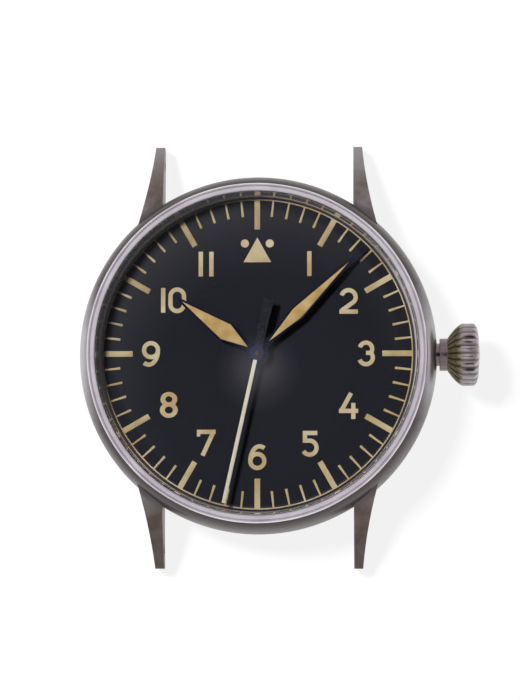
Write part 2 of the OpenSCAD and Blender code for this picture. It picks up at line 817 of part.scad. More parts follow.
module minute_hand() {
    color(blued) at_hour(minute_angle)
        hand(minute_len, minute_w, hand_edge, minute_filling_share, cannon_r + minute_hub_w, cannon_r,
            minute_seat_z);
}

module minute_hand_lume() {
    color(lume) at_hour(minute_angle) translate([0, 0, minute_seat_z])
        linear_extrude(hand_t)
            kite_filling(minute_len, minute_w, hand_edge, minute_filling_share);
}

seconds_hub_r = 0.85;
tail_root_share = 0.72;
module seconds_hand() {
    color(lume) at_hour(seconds_angle) translate([0, 0, seconds_seat_z]) difference() {
        translate([-seconds_w / 2, 0, 0]) cube([seconds_w, seconds_len, seconds_hand_t]);
        translate([0, 0, -over]) cylinder(r = seconds_hub_r, h = 2 * over + seconds_hand_t);
    }
}

module seconds_hand_tail() {
    color(blued) at_hour(seconds_angle) translate([0, 0, seconds_seat_z]) difference() {
        union() {
            cylinder(r = seconds_hub_r, h = seconds_hand_t);
            linear_extrude(seconds_hand_t) polygon(tail_w / 2 * [[-tail_root_share, 0], [tail_root_share, 0],
                [1, -2 * tail_len / tail_w], [-1, -2 * tail_len / tail_w]]);
        }
        translate([0, 0, -over]) cylinder(r = seconds_arbor_r, h = seconds_hand_t + 2 * over);
    }
}

/* Crown and keyless work */

valley_share = 0.085;
ridge_steps = 4;
cone_steps = 4;
round_steps = 4;
crown_bell_share = 0.7;
crown_face_share = 0.62;
crown_round_share = 0.8;

// Outer form of the crown along +Z: a round neck, a cone and a grip with rounded ridges and
// sharp valleys between them, and a rounded end
module crown_body() {
    n = crown_ridges * ridge_steps;
    end_x = crown_neck_len + crown_cone_len + crown_grip_len;
    ridge = [for (k = [0:n - 1]) let (u = 2 * (k % ridge_steps) / ridge_steps - 1) 1 - valley_share * u * u];
    neck = [for (x = [0, crown_neck_len]) [for (k = [0:n - 1]) [crown_neck_r, x]]];
    cone = [for (i = [1:cone_steps]) let (u = i / cone_steps, r = crown_neck_r
        + (crown_r - crown_neck_r) * (u + crown_bell_share * (sin(90 * u) - u)))
        [for (v = ridge) [r * v, crown_neck_len + crown_cone_len * u]]];
    end = [for (i = [0:round_steps]) let (u = i / round_steps,
        r = crown_r * (crown_face_share + (1 - crown_face_share) * cos(90 * u)))
        [for (v = ridge) [min(r, crown_r * v), end_x + crown_end_len * crown_round_share * sin(90 * u)]]];
    rings = concat(neck, cone, end);
    last = (len(rings) - 1) * n;
    polyhedron(
        concat([for (ring = rings, k = [0:n - 1]) concat(polar(ring[k][0], k * 360 / n), [ring[k][1]])],
            [[0, 0, end_x + crown_end_len]]),
        concat([[for (k = [0:n - 1]) k]],
            [for (j = [0:len(rings) - 2], k = [0:n - 1], low = [true, false])
                let (a = j * n + k, b = j * n + (k + 1) % n) low ? [a, a + n, b] : [b, a + n, b + n]],
            [for (k = [0:n - 1]) [last + n, last + (k + 1) % n, last + k]]));
}

module crown() {
    color(steel) along_stem(crown_x) difference() {
        crown_body();
        translate([0, 0, -over]) cylinder(r = neck_bore_r, h = crown_neck_len + over + crown_travel / 2);
        translate([0, 0, -over]) cylinder(r = stem_r, h = crown_neck_len + crown_cone_len + over);
    }
}

module winding_stem() {
    color(bright_steel) difference() {
        union() {
            along_stem(pinion_x - pass / 2)
                cylinder(r = stem_r, h = crown_x + crown_neck_len + crown_cone_len - pinion_x + pass / 2);
            translate([stem_in_x, -square_half, stem_z - square_half])
                cube([pinion_x - stem_in_x, 2 * square_half, 2 * square_half]);
            along_stem(stem_in_x - pilot_len) cylinder(r = pilot_r, h = pilot_len + 2 * pass);
        }
        along_stem(groove_x - groove_half) difference() {
            cylinder(r = 2 * stem_r, h = 2 * groove_half);
            translate([0, 0, -over]) cylinder(r = pilot_r, h = 2 * over + 2 * groove_half);
        }
    }
}

module crown_gasket() {
    color(seal_black) along_stem(crown_x + crown_neck_len / 2 + crown_travel / 2 - seal_len - pass / 2)
        tube(neck_bore_r, stem_r, seal_len);
}

seal_len = 0.3;
stem_in_x = 49 * grid;
pilot_len = 10 * grid;
pilot_share = 0.55;
pilot_r = stem_r * pilot_share;
square_share = 0.6;
square_half = stem_r * square_share;
groove_half = 0.3;
lever_pin_r = 0.2;
yoke_pin_r = 0.15;
lever_pivot_r = 3 * grid;
lever_boss_r = 5 * grid;
yoke_boss_r = 6.5 * grid;
lever_w = 6 * grid;

// Pinion on the stem that turns the crown wheel
module winding_pinion() {
    color(bright_steel) along_stem(pinion_x) difference() {
        leaves(winding_teeth, face_m, pinion_len, 0);
        translate([0, 0, -over]) cylinder(r = stem_r + run, h = pinion_len + 2 * over);
    }
}

// Clutch that slides on the square of the stem
sliding_teeth = 16;
sliding_teeth_share = 0.35;
sliding_body_share = 0.65;
sliding_head_share = 0.7;
yoke_place_share = 0.525;
module sliding_pinion() {
    m = 2 * sliding_r / (sliding_teeth + 2);
    hole = square_half + run;
    color(bright_steel) along_stem(sliding_x) difference() {
        union() {
            leaves(sliding_teeth, m, sliding_len * sliding_teeth_share, 0);
            cylinder(r = sliding_r * sliding_body_share, h = sliding_len);
            translate([0, 0, sliding_len * sliding_head_share])
                cylinder(r = sliding_r, h = sliding_len * (1 - sliding_head_share));
        }
        translate([-hole, -hole, -over]) cube([2 * hole, 2 * hole, sliding_len + 2 * over]);
    }
}

// The pivots of the two levers, and the plane that they lie in over the plate
lever_pivot_x = groove_x + crown_travel / 2;
yoke_pin_x = sliding_x + sliding_len * yoke_place_share;
yoke_pivot_x = yoke_pin_x - sliding_travel / 2;
lever_z = motion_z + pass / 2;

// A lever from its pivot to the stem, over the plate
module stem_lever(pivot, boss, turn) {
    at(pivot, plate_z + pass) cylinder(r = lever_pivot_r, h = motion_z - plate_z);
    at(pivot, lever_z) cylinder(r = boss, h = gear_t);
    at(pivot, lever_z) rotate(turn) translate([0, -lever_w / 2, 0]) cube([lever_arm, lever_w, gear_t]);
}

module setting_lever() {
    pin_low = stem_z + pilot_r + pass / 2;
    color(bright_steel) {
        stem_lever([lever_pivot_x, lever_arm], lever_boss_r, -90 - asin(crown_travel / 2 / lever_arm));
        at([groove_x, 0], pin_low) cylinder(r = lever_pin_r, h = lever_z + gear_t / 2 - pin_low);
    }
}

module yoke() {
    pin_low = stem_z + sliding_r * sliding_body_share + pass;
    color(bright_steel) {
        stem_lever([yoke_pivot_x, -lever_arm], yoke_boss_r, 90 - asin(sliding_travel / 2 / lever_arm));
        at([yoke_pin_x, 0], pin_low) cylinder(r = yoke_pin_r, h = lever_z + gear_t / 2 - pin_low);
    }
}

// A cover over the levers that holds them down, with a post on the plate
cover_t = 0.12;
cover_low = grid * [40, -16];
cover_size = grid * [70, 64];
cover_post = grid * [70, 40];
module setting_lever_spring() {
    cover_z = dial_z - cover_t - pass / 2;
    color(bright_steel) {
        at(cover_low, cover_z) cube([cover_size[0], cover_size[1], cover_t]);
        at(cover_post, motion_z) cylinder(r = lever_boss_r, h = cover_z - motion_z);
    }
}

// Wheel that the crown turns, with a face gear under the bridge and a spur gear over it
crown_hub_r = 7 * grid;
crown_disc_t = 0.4;
face_depth = 0.22;
face_rise = 0.3;
face_tooth_share = 0.8;
module crown_wheel() {
    low = train_z + pass;
    root = stem_z - winding_r - face_depth;
    outer = face_gear_r + face_gear_w / 2;
    tooth_w = PI * face_gear_r / face_teeth * face_tooth_share;
    color(steel) at([crown_wheel_x, 0]) {
        translate([0, 0, wheels_z]) toothed(crown_wheel_teeth, ratchet_m, ratchet_t, ratchet_a);
        translate([0, 0, wheels_z]) cylinder(r = crown_hub_r, h = low - wheels_z);
        translate([0, 0, low]) cylinder(r = outer, h = crown_disc_t);
        translate([0, 0, low]) tube(outer, outer - face_gear_w, root - low);
        for (i = [0:face_teeth - 1]) rotate((i + 0.5) * 360 / face_teeth)
            translate([outer - face_gear_w, -tooth_w / 2, root - pass])
                cube([face_gear_w, tooth_w, face_rise + pass]);
    }
}

/* Barrel */

drum_r = 53 * grid;
drum_wall = 3.5 * grid;
drum_floor_t = 0.22;
drum_teeth_share = 0.28;
drum_teeth_low_share = 0.4;
cover_disc_t = 0.18;
barrel_bore_r = 7 * grid;
barrel_hub_share = 1.9;
spring_turns = 7;
spring_t = 1.6 * grid;
spring_in_share = 2.1;
spring_gap = 0.06;

module barrel_drum() {
    inner = drum_r - drum_wall;
    color(gilt) at(barrel_at) difference() {
        union() {
            translate([0, 0, barrel_z]) cylinder(r = drum_r, h = drum_h);
            translate([0, 0, barrel_z + drum_h * drum_teeth_low_share])
                toothed(barrel_teeth, barrel_m, drum_h * drum_teeth_share, barrel_a + 180);
        }
        translate([0, 0, barrel_z - over]) cylinder(r = inner, h = drum_h - drum_floor_t + over);
        translate([0, 0, barrel_z]) cylinder(r = barrel_bore_r + run, h = drum_h + over);
    }
}

module barrel_cover() {
    color(gilt) at(barrel_at, barrel_z)
        tube(drum_r - drum_wall, barrel_bore_r + run, cover_disc_t);
}

// Points of a flat spiral between two radii
function spiral(r0, r1, turns, steps) = [for (i = [0:turns * steps])
    polar(r0 + (r1 - r0) * i / (turns * steps), i * 360 / steps)];

module coil(r0, r1, turns, steps, t, h) {
    linear_extrude(h) polygon(concat(spiral(r0, r1, turns, steps),
        [for (i = [turns * steps:-1:0]) spiral(r0 + t, r1 + t, turns, steps)[i]]));
}

module mainspring() {
    low = cover_disc_t + spring_gap;
    color(steel) at(barrel_at, barrel_z + low)
        coil(barrel_bore_r * spring_in_share, drum_r - drum_wall - spring_t - run, spring_turns, 24, spring_t,
            drum_h - drum_floor_t - low - spring_gap);
}

module barrel_arbor() {
    color(bright_steel) at(barrel_at) {
        translate([0, 0, bridge_z - pass / 2])
            cylinder(r = barrel_bore_r, h = motion_z - bridge_z - 2 * pass);
        translate([0, 0, barrel_z + cover_disc_t + spring_gap / 2]) cylinder(
            r = barrel_bore_r * barrel_hub_share, h = drum_h - drum_floor_t - cover_disc_t - spring_gap);
    }
}

module ratchet_wheel() {
    first = meshed(ratchet_a, crown_wheel_teeth, ratchet_teeth, ratchet_a);
    color(steel) at(barrel_at, wheels_z) difference() {
        toothed(ratchet_teeth, ratchet_m, ratchet_t, first);
        translate([0, 0, -over]) cylinder(r = screw_r, h = 2 * over + ratchet_t);
    }
}

ratchet_screw_r = 11 * grid;
module ratchet_screw() {
    color(blued) at(barrel_at) difference() {
        union() {
            translate([0, 0, wheels_z - 2 * pass]) cylinder(r = ratchet_screw_r, h = 2 * pass);
            translate([0, 0, wheels_z]) cylinder(r = screw_r, h = ratchet_t);
        }
        translate([-2 * ratchet_screw_r, -pass, wheels_z - over - pass])
            cube([4 * ratchet_screw_r, 2 * pass, over]);
    }
}

click_at = barrel_at + polar(71 * grid, 205);
click_r = 7.5 * grid;
click_turn = -62;
click_nose = grid * [14.5, 5];
click_pin_r = 3 * grid;
click_pin_share = 0.6;
module click() {
    color(bright_steel) at(click_at, wheels_z) {
        cylinder(r = click_r, h = ratchet_t);
        rotate(click_turn) translate([0, -click_nose[1] / 2, 0])
            cube([click_nose[0], click_nose[1], ratchet_t]);
        cylinder(r = click_pin_r, h = ratchet_t + bridge_t * click_pin_share);
    }
}

click_spring_turn = 200;
click_spring_gap = 8.5 * grid;
click_spring_len = 16 * grid;
click_spring_foot = grid * [-23, -8.5];
click_spring_h_share = 0.8;
module click_spring() {
    color(bright_steel) at(click_at, wheels_z) {
        rotate(click_spring_turn) translate([click_spring_gap, -pass, 0])
            cube([click_spring_len, 2 * pass, ratchet_t * click_spring_h_share]);
        at(click_spring_foot) cylinder(r = lever_boss_r, h = ratchet_t + pass / 2);
    }
}

/* Going train */

centre_boss_r = 7 * grid;
module centre_wheel() {
    leaves_z = third_z + 3 * pass;
    color(gilt) difference() {
        union() {
            translate([0, 0, centre_z]) spoked(centre_teeth, centre_m, wheel_t, 5, third_a);
            translate([0, 0, leaves_z]) leaves(centre_leaves, barrel_m, centre_z - leaves_z,
                meshed(barrel_a + 180, barrel_teeth, centre_leaves, barrel_a + 180));
            translate([0, 0, centre_z]) cylinder(r = centre_boss_r, h = plate_z - centre_z - pass / 2);
            translate([0, 0, centre_z]) cylinder(r = centre_arbor_r, h = minute_seat_z - centre_z - hand_t);
        }
        cylinder(r = centre_bore_r, h = top_z);
    }
}

module cannon_pinion() {
    color(bright_steel) difference() {
        union() {
            translate([0, 0, cannon_gear_z]) leaves(cannon_teeth, cannon_m, gear_t, 0);
            translate([0, 0, cannon_gear_z])
                cylinder(r = cannon_r, h = minute_seat_z + hand_t - cannon_gear_z);
        }
        cylinder(r = centre_arbor_r, h = minute_seat_z - hand_t);
        cylinder(r = centre_bore_r, h = top_z);
    }
}

module third_wheel() {
    line = third_a + 180;
    color(gilt) at(third_at) {
        translate([0, 0, third_z]) spoked(third_teeth, third_m, wheel_t, 4, line);
        translate([0, 0, third_z]) leaves(third_leaves, centre_m, plate_z - low_gap - third_z,
            meshed(third_a, centre_teeth, third_leaves, third_a));
        arbor(train_z + pass / 2, plate_z - pass / 2);
    }
}

module seconds_wheel() {
    color(gilt) {
        translate([0, 0, seconds_z]) spoked(seconds_teeth, seconds_m, wheel_t, 5, escape_a);
        translate([0, 0, seconds_z]) leaves(seconds_leaves, third_m, third_z + wheel_t + pass - seconds_z,
            meshed(third_a + 180, third_teeth, seconds_leaves, third_a + 180));
        translate([0, 0, seconds_z])
            cylinder(r = seconds_arbor_r, h = seconds_seat_z + seconds_hand_t - seconds_z);
        translate([0, 0, train_z - pivot_len]) cylinder(r = pivot_r, h = pivot_len + seconds_z - train_z);
    }
}

// The escape wheel's teeth lean: angles of a tooth's root, tip and back, and shares of its radius
escape_root_a = -8;
escape_tip_a = 1.5;
escape_back_a = -1;
escape_root_share = 0.8;
escape_rim_share = 0.66;
escape_t_share = 0.8;
escape_spoke_w = 2.4 * grid;
escape_leaves_h = 0.34;
escape_first = lever_a + 12;
module escape_wheel() {
    t = fork_t * escape_t_share;
    rim = escape_r * escape_rim_share;
    tips = [for (i = [0:escape_teeth - 1]) let (a = i * 360 / escape_teeth) each [
        polar(escape_r * escape_root_share, a + escape_root_a),
        polar(escape_r, a),
        polar(escape_r, a + escape_tip_a),
        polar(escape_r * escape_root_share, a + escape_back_a)]];
    color(bright_steel) at(escape_at) {
        translate([0, 0, escape_z]) difference() {
            linear_extrude(t) rotate(escape_first) polygon(tips);
            translate([0, 0, -over]) cylinder(r = rim, h = 2 * over);
        }
        translate([0, 0, escape_z]) {
            cylinder(r = 2.5 * arbor_r, h = t);
            for (i = [0:3]) rotate(i * 90) translate([0, -escape_spoke_w / 2, 0])
                cube([rim + pass / 2, escape_spoke_w, t]);
        }
        translate([0, 0, train_z + pass / 2]) leaves(escape_leaves, seconds_m, escape_leaves_h,
            meshed(escape_a, seconds_teeth, escape_leaves, escape_a));
        arbor(train_z + pass / 2, plate_z - pass / 2);
    }
}

/* Escapement */

// The fork lies along +X from its arbor, and its arms along Y carry the two stones
fork_arm = escape_r / 2;
stone_w = 1.6 * grid;
stone_len = 6.2 * grid;
stone_cut = 9 * grid;
roller_r = 6.2 * grid;
roller_t = 0.16;
pin_at = 4.5 * grid;
pin_r = 0.8 * grid;
fork_hub_r = 3 * grid;
fork_arm_w = 3.2 * grid;
fork_pad = grid * [5, 3.5];
fork_pad_x = -4.2 * grid;
fork_stem_w = 2.2 * grid;
fork_head = grid * [4, 7.2];
fork_slot = grid * [5, 2.4];
module pallet_fork() {
    head_x = fork_len - pin_at - fork_hub_r;
    reach = fork_arm + stone_w;
    color(bright_steel) at(pallet_at, escape_z) rotate(lever_a) difference() {
        union() {
            cylinder(r = fork_hub_r, h = fork_t);
            translate([-fork_arm_w / 2, -reach, 0]) cube([fork_arm_w, 2 * reach, fork_t]);
            for (y = [-1, 1]) translate([fork_pad_x, y * fork_arm - fork_pad[1] / 2, 0])
                cube([fork_pad[0], fork_pad[1], fork_t]);
            translate([0, -fork_stem_w / 2, 0]) cube([head_x, fork_stem_w, fork_t]);
            translate([head_x, -fork_head[1] / 2, 0]) cube([fork_head[0], fork_head[1], fork_t]);
        }
        translate([head_x + fork_hub_r / 2, -fork_slot[1] / 2, -over])
            cube([fork_slot[0], fork_slot[1], fork_t + 2 * over]);
        for (y = [-1, 1]) translate([-stone_cut, y * fork_arm - stone_w / 2, -over])
            cube([stone_cut, stone_w, fork_t + 2 * over]);
    }
    color(bright_steel) at(pallet_at)
        arbor(pallet_bridge_z + pallet_bridge_t + pass / 2, plate_z - pass / 2);
}

module pallet_stones() {
    for (y = [-1, 1]) color(ruby) at(pallet_at, escape_z) rotate(lever_a)
        translate([-stone_len, y * fork_arm - stone_w / 2, 0]) cube([stone_len, stone_w, fork_t]);
}

balance_rim_w = 4.5 * grid;
balance_spoke_w = 5 * grid;
balance_hub_r = 5.5 * grid;
balance_first = 20;
collet_r = 3 * grid;
module balance_wheel() {
    color(gilt) at(balance_at) {
        translate([0, 0, balance_z]) tube(balance_r, balance_r - balance_rim_w, rim_h);
        for (i = [0:2]) rotate(i * 120 + balance_first)
            translate([0, -balance_spoke_w / 2, balance_z + pass])
                cube([balance_r - balance_rim_w + pass, balance_spoke_w, rim_h / 2]);
        translate([0, 0, balance_z]) cylinder(r = balance_hub_r, h = rim_h);
        arbor(train_z + pass / 2, plate_z - pass / 2);
        translate([0, 0, train_z + pass / 2]) cylinder(r = collet_r, h = balance_z - train_z);
    }
}

module balance_roller() {
    color(bright_steel) at(balance_at) difference() {
        translate([0, 0, escape_z + fork_t + pass]) cylinder(r = roller_r, h = roller_t);
        cylinder(r = arbor_r, h = plate_z);
    }
    color(ruby) at(balance_at, escape_z + pass) rotate(lever_a + 180)
        at([pin_at, 0]) cylinder(r = pin_r, h = fork_t);
}

hairspring_in = 4.2 * grid;
hairspring_turns = 9;
hairspring_t = 0.5 * grid;
module hairspring() {
    color(blued) at(balance_at, spring_z)
        coil(hairspring_in, hairspring_r, hairspring_turns, 24, hairspring_t, spring_h);
}

regulator_r = 9.5 * grid;
regulator_arm = grid * [26, 3.6];
regulator_turn = 25;
regulator_t = 1.2 * pass;
module regulator() {
    color(bright_steel) at(balance_at, bridge_z - regulator_t) difference() {
        union() {
            cylinder(r = regulator_r, h = regulator_t);
            rotate(regulator_turn) translate([0, -regulator_arm[1] / 2, 0])
                cube([regulator_arm[0], regulator_arm[1], regulator_t]);
        }
        translate([0, 0, -over]) cylinder(r = jewel_r + pass / 2, h = 2 * over);
    }
}

/* Plates and bridges */

plate_rim_w = 5 * grid;
plate_jewels = [third_at, escape_at, pallet_at, balance_at];
bridge_edge = movement_r - 3 * pass;

// Space that the turning pieces need, between the bridges and the main plate
module train_pockets(z, h) {
    at(barrel_at, z) cylinder(r = barrel_m * (barrel_teeth / 2 + 1) + pass, h = h);
    at(third_at, z) cylinder(r = third_m * (third_teeth / 2 + 1) + pass, h = h);
    at([0, 0], z) cylinder(r = seconds_m * (seconds_teeth / 2 + 1) + pass, h = h);
    at(escape_at, z) cylinder(r = escape_r + pass, h = h);
    at(balance_at, z) cylinder(r = balance_r + 2 * pass, h = h);
    at([crown_wheel_x, 0], z) cylinder(r = face_gear_r + face_gear_w / 2 + 2 * pass, h = h);
    translate([stem_in_x - 20 * grid, -winding_r - 3 * pass, z])
        cube([movement_r, 2 * winding_r + 6 * pass, h]);
}

module bridge_plan(outline) {
    intersection() {
        translate([0, 0, bridge_z]) cylinder(r = bridge_edge, h = plate_z - bridge_z);
        translate([0, 0, bridge_z]) linear_extrude(plate_z - bridge_z) polygon(outline);
    }
}

// Outlines of the two bridges past the movement's edge, and the places of the screws, on the grid
e = 130;
barrel_outline = grid * [[-e, 13], [26, 13], [41, -27], [e, -27], [e, e], [-e, e]];
train_outline = grid * [[-e, 11], [24, 11], [30, -16], [16, -50], [-14, -75], [-26, -e], [-e, -e]];
barrel_posts = grid * [[-89, 66], [89, 66]];
train_posts = grid * [[-98, -12], [-52, -92]];
cock_post = grid * [104, -47];
cock_w = 26 * grid;
cock_boss_share = 0.6;
cock_post_share = 0.42;
stud_r = 1.5 * grid;
screw_hole_share = 0.6;

module barrel_bridge() {
    color(plate_grey) difference() {
        bridge_plan(barrel_outline);
        train_pockets(train_z, train_h + over);
        at(barrel_at) cylinder(r = barrel_bore_r + run, h = plate_z);
        at([crown_wheel_x, 0]) cylinder(r = crown_hub_r + run, h = plate_z);
        at(click_at, bridge_z - over)
            cylinder(r = click_pin_r + run, h = bridge_t * click_pin_share + pass + over);
        for (p = barrel_posts) at(p) cylinder(r = screw_r, h = plate_z + over);
    }
}

module train_bridge() {
    color(plate_grey) difference() {
        bridge_plan(train_outline);
        train_pockets(train_z, train_h + over);
        at(balance_at, bridge_z - over)
            cylinder(r = balance_r + 4 * pass, h = train_h + bridge_t + 2 * over);
        for (p = [third_at, escape_at, [0, 0]]) at(p) cylinder(r = jewel_r, h = plate_z);
        for (p = train_posts) at(p) cylinder(r = screw_r, h = plate_z + over);
    }
}

module balance_cock() {
    line = cock_post - balance_at;
    color(plate_grey) difference() {
        union() {
            at(balance_at, bridge_z) cylinder(r = cock_w * cock_boss_share, h = bridge_t);
            at(balance_at, bridge_z) rotate(atan2(line[1], line[0]))
                translate([0, -cock_w / 2, 0]) cube([norm(line), cock_w, bridge_t]);
            at(cock_post, bridge_z) cylinder(r = cock_w * cock_post_share, h = plate_z - bridge_z);
            at(balance_at + [hairspring_r, 0], bridge_z + bridge_t / 2)
                cylinder(r = stud_r, h = spring_z - bridge_z - bridge_t / 2);
        }
        at(balance_at) cylinder(r = jewel_r, h = plate_z);
        at(cock_post) cylinder(r = screw_r, h = plate_z + over);
    }
}

fork_post_d = 22 * grid;
pallet_bridge_half = 5.5 * grid;
pallet_bridge_t = 0.35;
pallet_jewel_r = jewel_r * 0.8;
module pallet_bridge() {
    color(plate_grey) at(pallet_at) rotate(lever_a) difference() {
        union() {
            translate([-pallet_bridge_half, -fork_post_d, pallet_bridge_z])
                cube([2 * pallet_bridge_half, 2 * fork_post_d, pallet_bridge_t]);
            for (y = [-1, 1]) at([0, y * fork_post_d], pallet_bridge_z)
                cylinder(r = pallet_bridge_half, h = plate_z - pallet_bridge_z);
        }
        cylinder(r = pallet_jewel_r, h = plate_z);
    }
}

module bridge_screws() {
    color(blued) for (p = concat(barrel_posts, train_posts, [cock_post]))
        at(p) screw(bridge_z, plate_z - bridge_z + plate_t * screw_hole_share);
}

module jewels() {
    color(ruby) {
        for (p = [third_at, escape_at, [0, 0], balance_at]) at(p, train_z - jewel_t)
            tube(jewel_r, pivot_r + run, jewel_t);
        for (p = plate_jewels) at(p, plate_z) tube(jewel_r, pivot_r + run, jewel_t);
        at(pallet_at, pallet_bridge_z + pass) tube(pallet_jewel_r, pivot_r + run, jewel_t);
    }
}

module main_plate() {
    keyless_x = sliding_x - sliding_travel - pass;
    slot_half = lever_pin_r + pass;
    color(plate_grey) difference() {
        union() {
            translate([0, 0, plate_z]) cylinder(r = movement_r, h = plate_t);
            translate([0, 0, motion_z]) tube(movement_r, movement_r - plate_rim_w, motion_h);
        }
        cylinder(r = centre_arbor_r + run, h = dial_z);
        at(barrel_at) cylinder(r = barrel_bore_r + run, h = dial_z);
        for (p = plate_jewels) {
            at(p) cylinder(r = jewel_r, h = plate_z + jewel_t);
            at(p) cylinder(r = pivot_r + run, h = plate_z + jewel_t * 2);
        }
        for (p = concat(barrel_posts, train_posts, [cock_post]))
            at(p) cylinder(r = screw_r, h = plate_z + plate_t * screw_hole_share);
        translate([keyless_x, -winding_r - 2 * pass, 0])
            cube([pinion_x + pinion_len + pass - keyless_x, 2 * winding_r + 4 * pass, dial_z]);
        along_stem(stem_in_x - pilot_len - pass) cylinder(r = stem_r + run, h = case_r);
        translate([groove_x - lever_pin_r - slot_half, -slot_half, stem_z])
            cube([crown_travel + 2 * lever_pin_r + 2 * slot_half - pass, 2 * slot_half, dial_z]);
        for (p = [[lever_pivot_x, lever_arm], [yoke_pivot_x, -lever_arm]])
            at(p) cylinder(r = lever_pivot_r + run, h = dial_z);
    }
    color(plate_grey) {
        at(minute_at, motion_z) cylinder(r = post_r, h = motion_h - pass);
        at(setting_at, motion_z) cylinder(r = post_r, h = motion_h - 2 * pass);
    }
}

/* Motion work */

cannon_first = 0;
minute_first = meshed(cannon_first, cannon_teeth, minute_teeth, 0);
module minute_wheel() {
    color(gilt) at(minute_at) difference() {
        union() {
            translate([0, 0, cannon_gear_z]) toothed(minute_teeth, cannon_m, gear_t, minute_first);
            translate([0, 0, cannon_gear_z])
                leaves(minute_leaves, hour_m, minute_pinion_z + gear_t - cannon_gear_z, 180);
        }
        cylinder(r = post_r + run, h = dial_z);
    }
}

module hour_wheel() {
    color(gilt) difference() {
        union() {
            translate([0, 0, minute_pinion_z]) toothed(hour_teeth, hour_m, gear_t,
                meshed(180, minute_leaves, hour_teeth, 180));
            translate([0, 0, minute_pinion_z])
                cylinder(r = hour_tube_r, h = hour_seat_z + hand_t - minute_pinion_z);
        }
        cylinder(r = cannon_r + run, h = top_z);
    }
}

module setting_wheel() {
    color(steel) at(setting_at) difference() {
        translate([0, 0, cannon_gear_z + pass / 2]) toothed(setting_teeth, cannon_m, gear_t,
            meshed(minute_first, minute_teeth, setting_teeth, 0));
        cylinder(r = post_r + run, h = dial_z);
    }
}

case_middle();
bezel();
crystal();
crystal_gasket();
rehaut_ring();
crown_tube();
caseback();
caseback_gasket();
movement_ring();
casing_clamps();
casing_screws();
dial();
minute_track();
dial_numerals();
main_plate();
barrel_bridge();
train_bridge();
balance_cock();
pallet_bridge();
bridge_screws();
jewels();
regulator();
hairspring();
click_spring();
click();
setting_lever_spring();
barrel_drum();
barrel_cover();
mainspring();
barrel_arbor();
ratchet_wheel();
ratchet_screw();
crown_wheel();
centre_wheel();
cannon_pinion();
minute_hand();
minute_hand_lume();
third_wheel();
seconds_wheel();
seconds_hand();
seconds_hand_tail();
escape_wheel();
pallet_fork();
pallet_stones();
balance_wheel();
balance_roller();
minute_wheel();
hour_wheel();
hour_hand();
hour_hand_lume();
setting_wheel();
crown();
winding_stem();
crown_gasket();
winding_pinion();
sliding_pinion();
setting_lever();
yoke();
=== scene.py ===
import math

import bmesh
import bpy
from mathutils import Matrix, Vector


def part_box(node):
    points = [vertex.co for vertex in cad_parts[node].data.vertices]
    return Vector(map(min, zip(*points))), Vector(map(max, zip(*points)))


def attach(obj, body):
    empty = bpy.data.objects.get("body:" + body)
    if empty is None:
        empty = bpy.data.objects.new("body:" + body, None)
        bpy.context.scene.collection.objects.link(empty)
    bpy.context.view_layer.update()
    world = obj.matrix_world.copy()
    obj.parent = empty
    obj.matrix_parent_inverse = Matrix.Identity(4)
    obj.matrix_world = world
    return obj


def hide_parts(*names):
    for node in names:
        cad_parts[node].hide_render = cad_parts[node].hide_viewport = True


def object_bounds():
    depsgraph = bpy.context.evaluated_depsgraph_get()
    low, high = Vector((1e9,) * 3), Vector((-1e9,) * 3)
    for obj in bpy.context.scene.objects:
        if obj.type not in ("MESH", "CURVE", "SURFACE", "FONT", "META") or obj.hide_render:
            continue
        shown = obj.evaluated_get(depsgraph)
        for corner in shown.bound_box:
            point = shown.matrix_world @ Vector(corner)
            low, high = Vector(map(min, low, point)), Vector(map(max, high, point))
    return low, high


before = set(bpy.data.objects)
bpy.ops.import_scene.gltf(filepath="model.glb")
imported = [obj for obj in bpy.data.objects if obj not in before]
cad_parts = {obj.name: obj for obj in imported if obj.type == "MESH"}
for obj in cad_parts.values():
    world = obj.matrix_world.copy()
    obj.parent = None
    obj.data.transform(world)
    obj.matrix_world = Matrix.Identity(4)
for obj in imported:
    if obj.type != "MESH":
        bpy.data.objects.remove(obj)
cad_low, cad_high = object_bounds()

# Main plate and bridges
# The plate carries every arbor of the movement, and the bridges hold them from the back.
# They are brass, milled and pearled with a turning peg, then plated with nickel.
MM = 0.001


def linear(value):
    """One sRGB hex colour as linear red, green, blue and alpha."""
    parts = [int(value[i:i + 2], 16) / 255 for i in (1, 3, 5)]
    return (*[p / 12.92 if p <= 0.04045 else ((p + 0.055) / 1.055) ** 2.4 for p in parts], 1.0)


def per(size):
    """Texture scale of a pattern whose features are this many millimetres."""
    return 1 / (size * MM)


def add(material, kind, sockets=None, **settings):
    """One more node, with its settings, its values and the sockets that feed it."""
    made = material.node_tree.nodes.new("ShaderNode" + kind)
    for name, value in settings.items():
        setattr(made, name, value)
    for name, value in (sockets or {}).items():
        if isinstance(value, bpy.types.NodeSocket):
            material.node_tree.links.new(value, made.inputs[name])
        else:
            made.inputs[name].default_value = value
    return made


def surface(name, colour, roughness, metallic=0.0, **sockets):
    """A material whose Principled shader starts from the real finish."""
    material = bpy.data.materials.new(name)
    material.use_nodes = True
    shader = material.node_tree.nodes["Principled BSDF"]
    shader.inputs["Base Color"].default_value = linear(colour)
    shader.inputs["Roughness"].default_value = roughness
    shader.inputs["Metallic"].default_value = metallic
    for socket, value in sockets.items():
        shader.inputs[socket.replace("_", " ")].default_value = value
    return material, shader


def feed(material, output, shader, socket):
    material.node_tree.links.new(output, shader.inputs[socket])


def dress(node, material):
    """Gives a CAD node one material."""
    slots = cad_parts[node].data.materials
    slots.clear()
    slots.append(material)


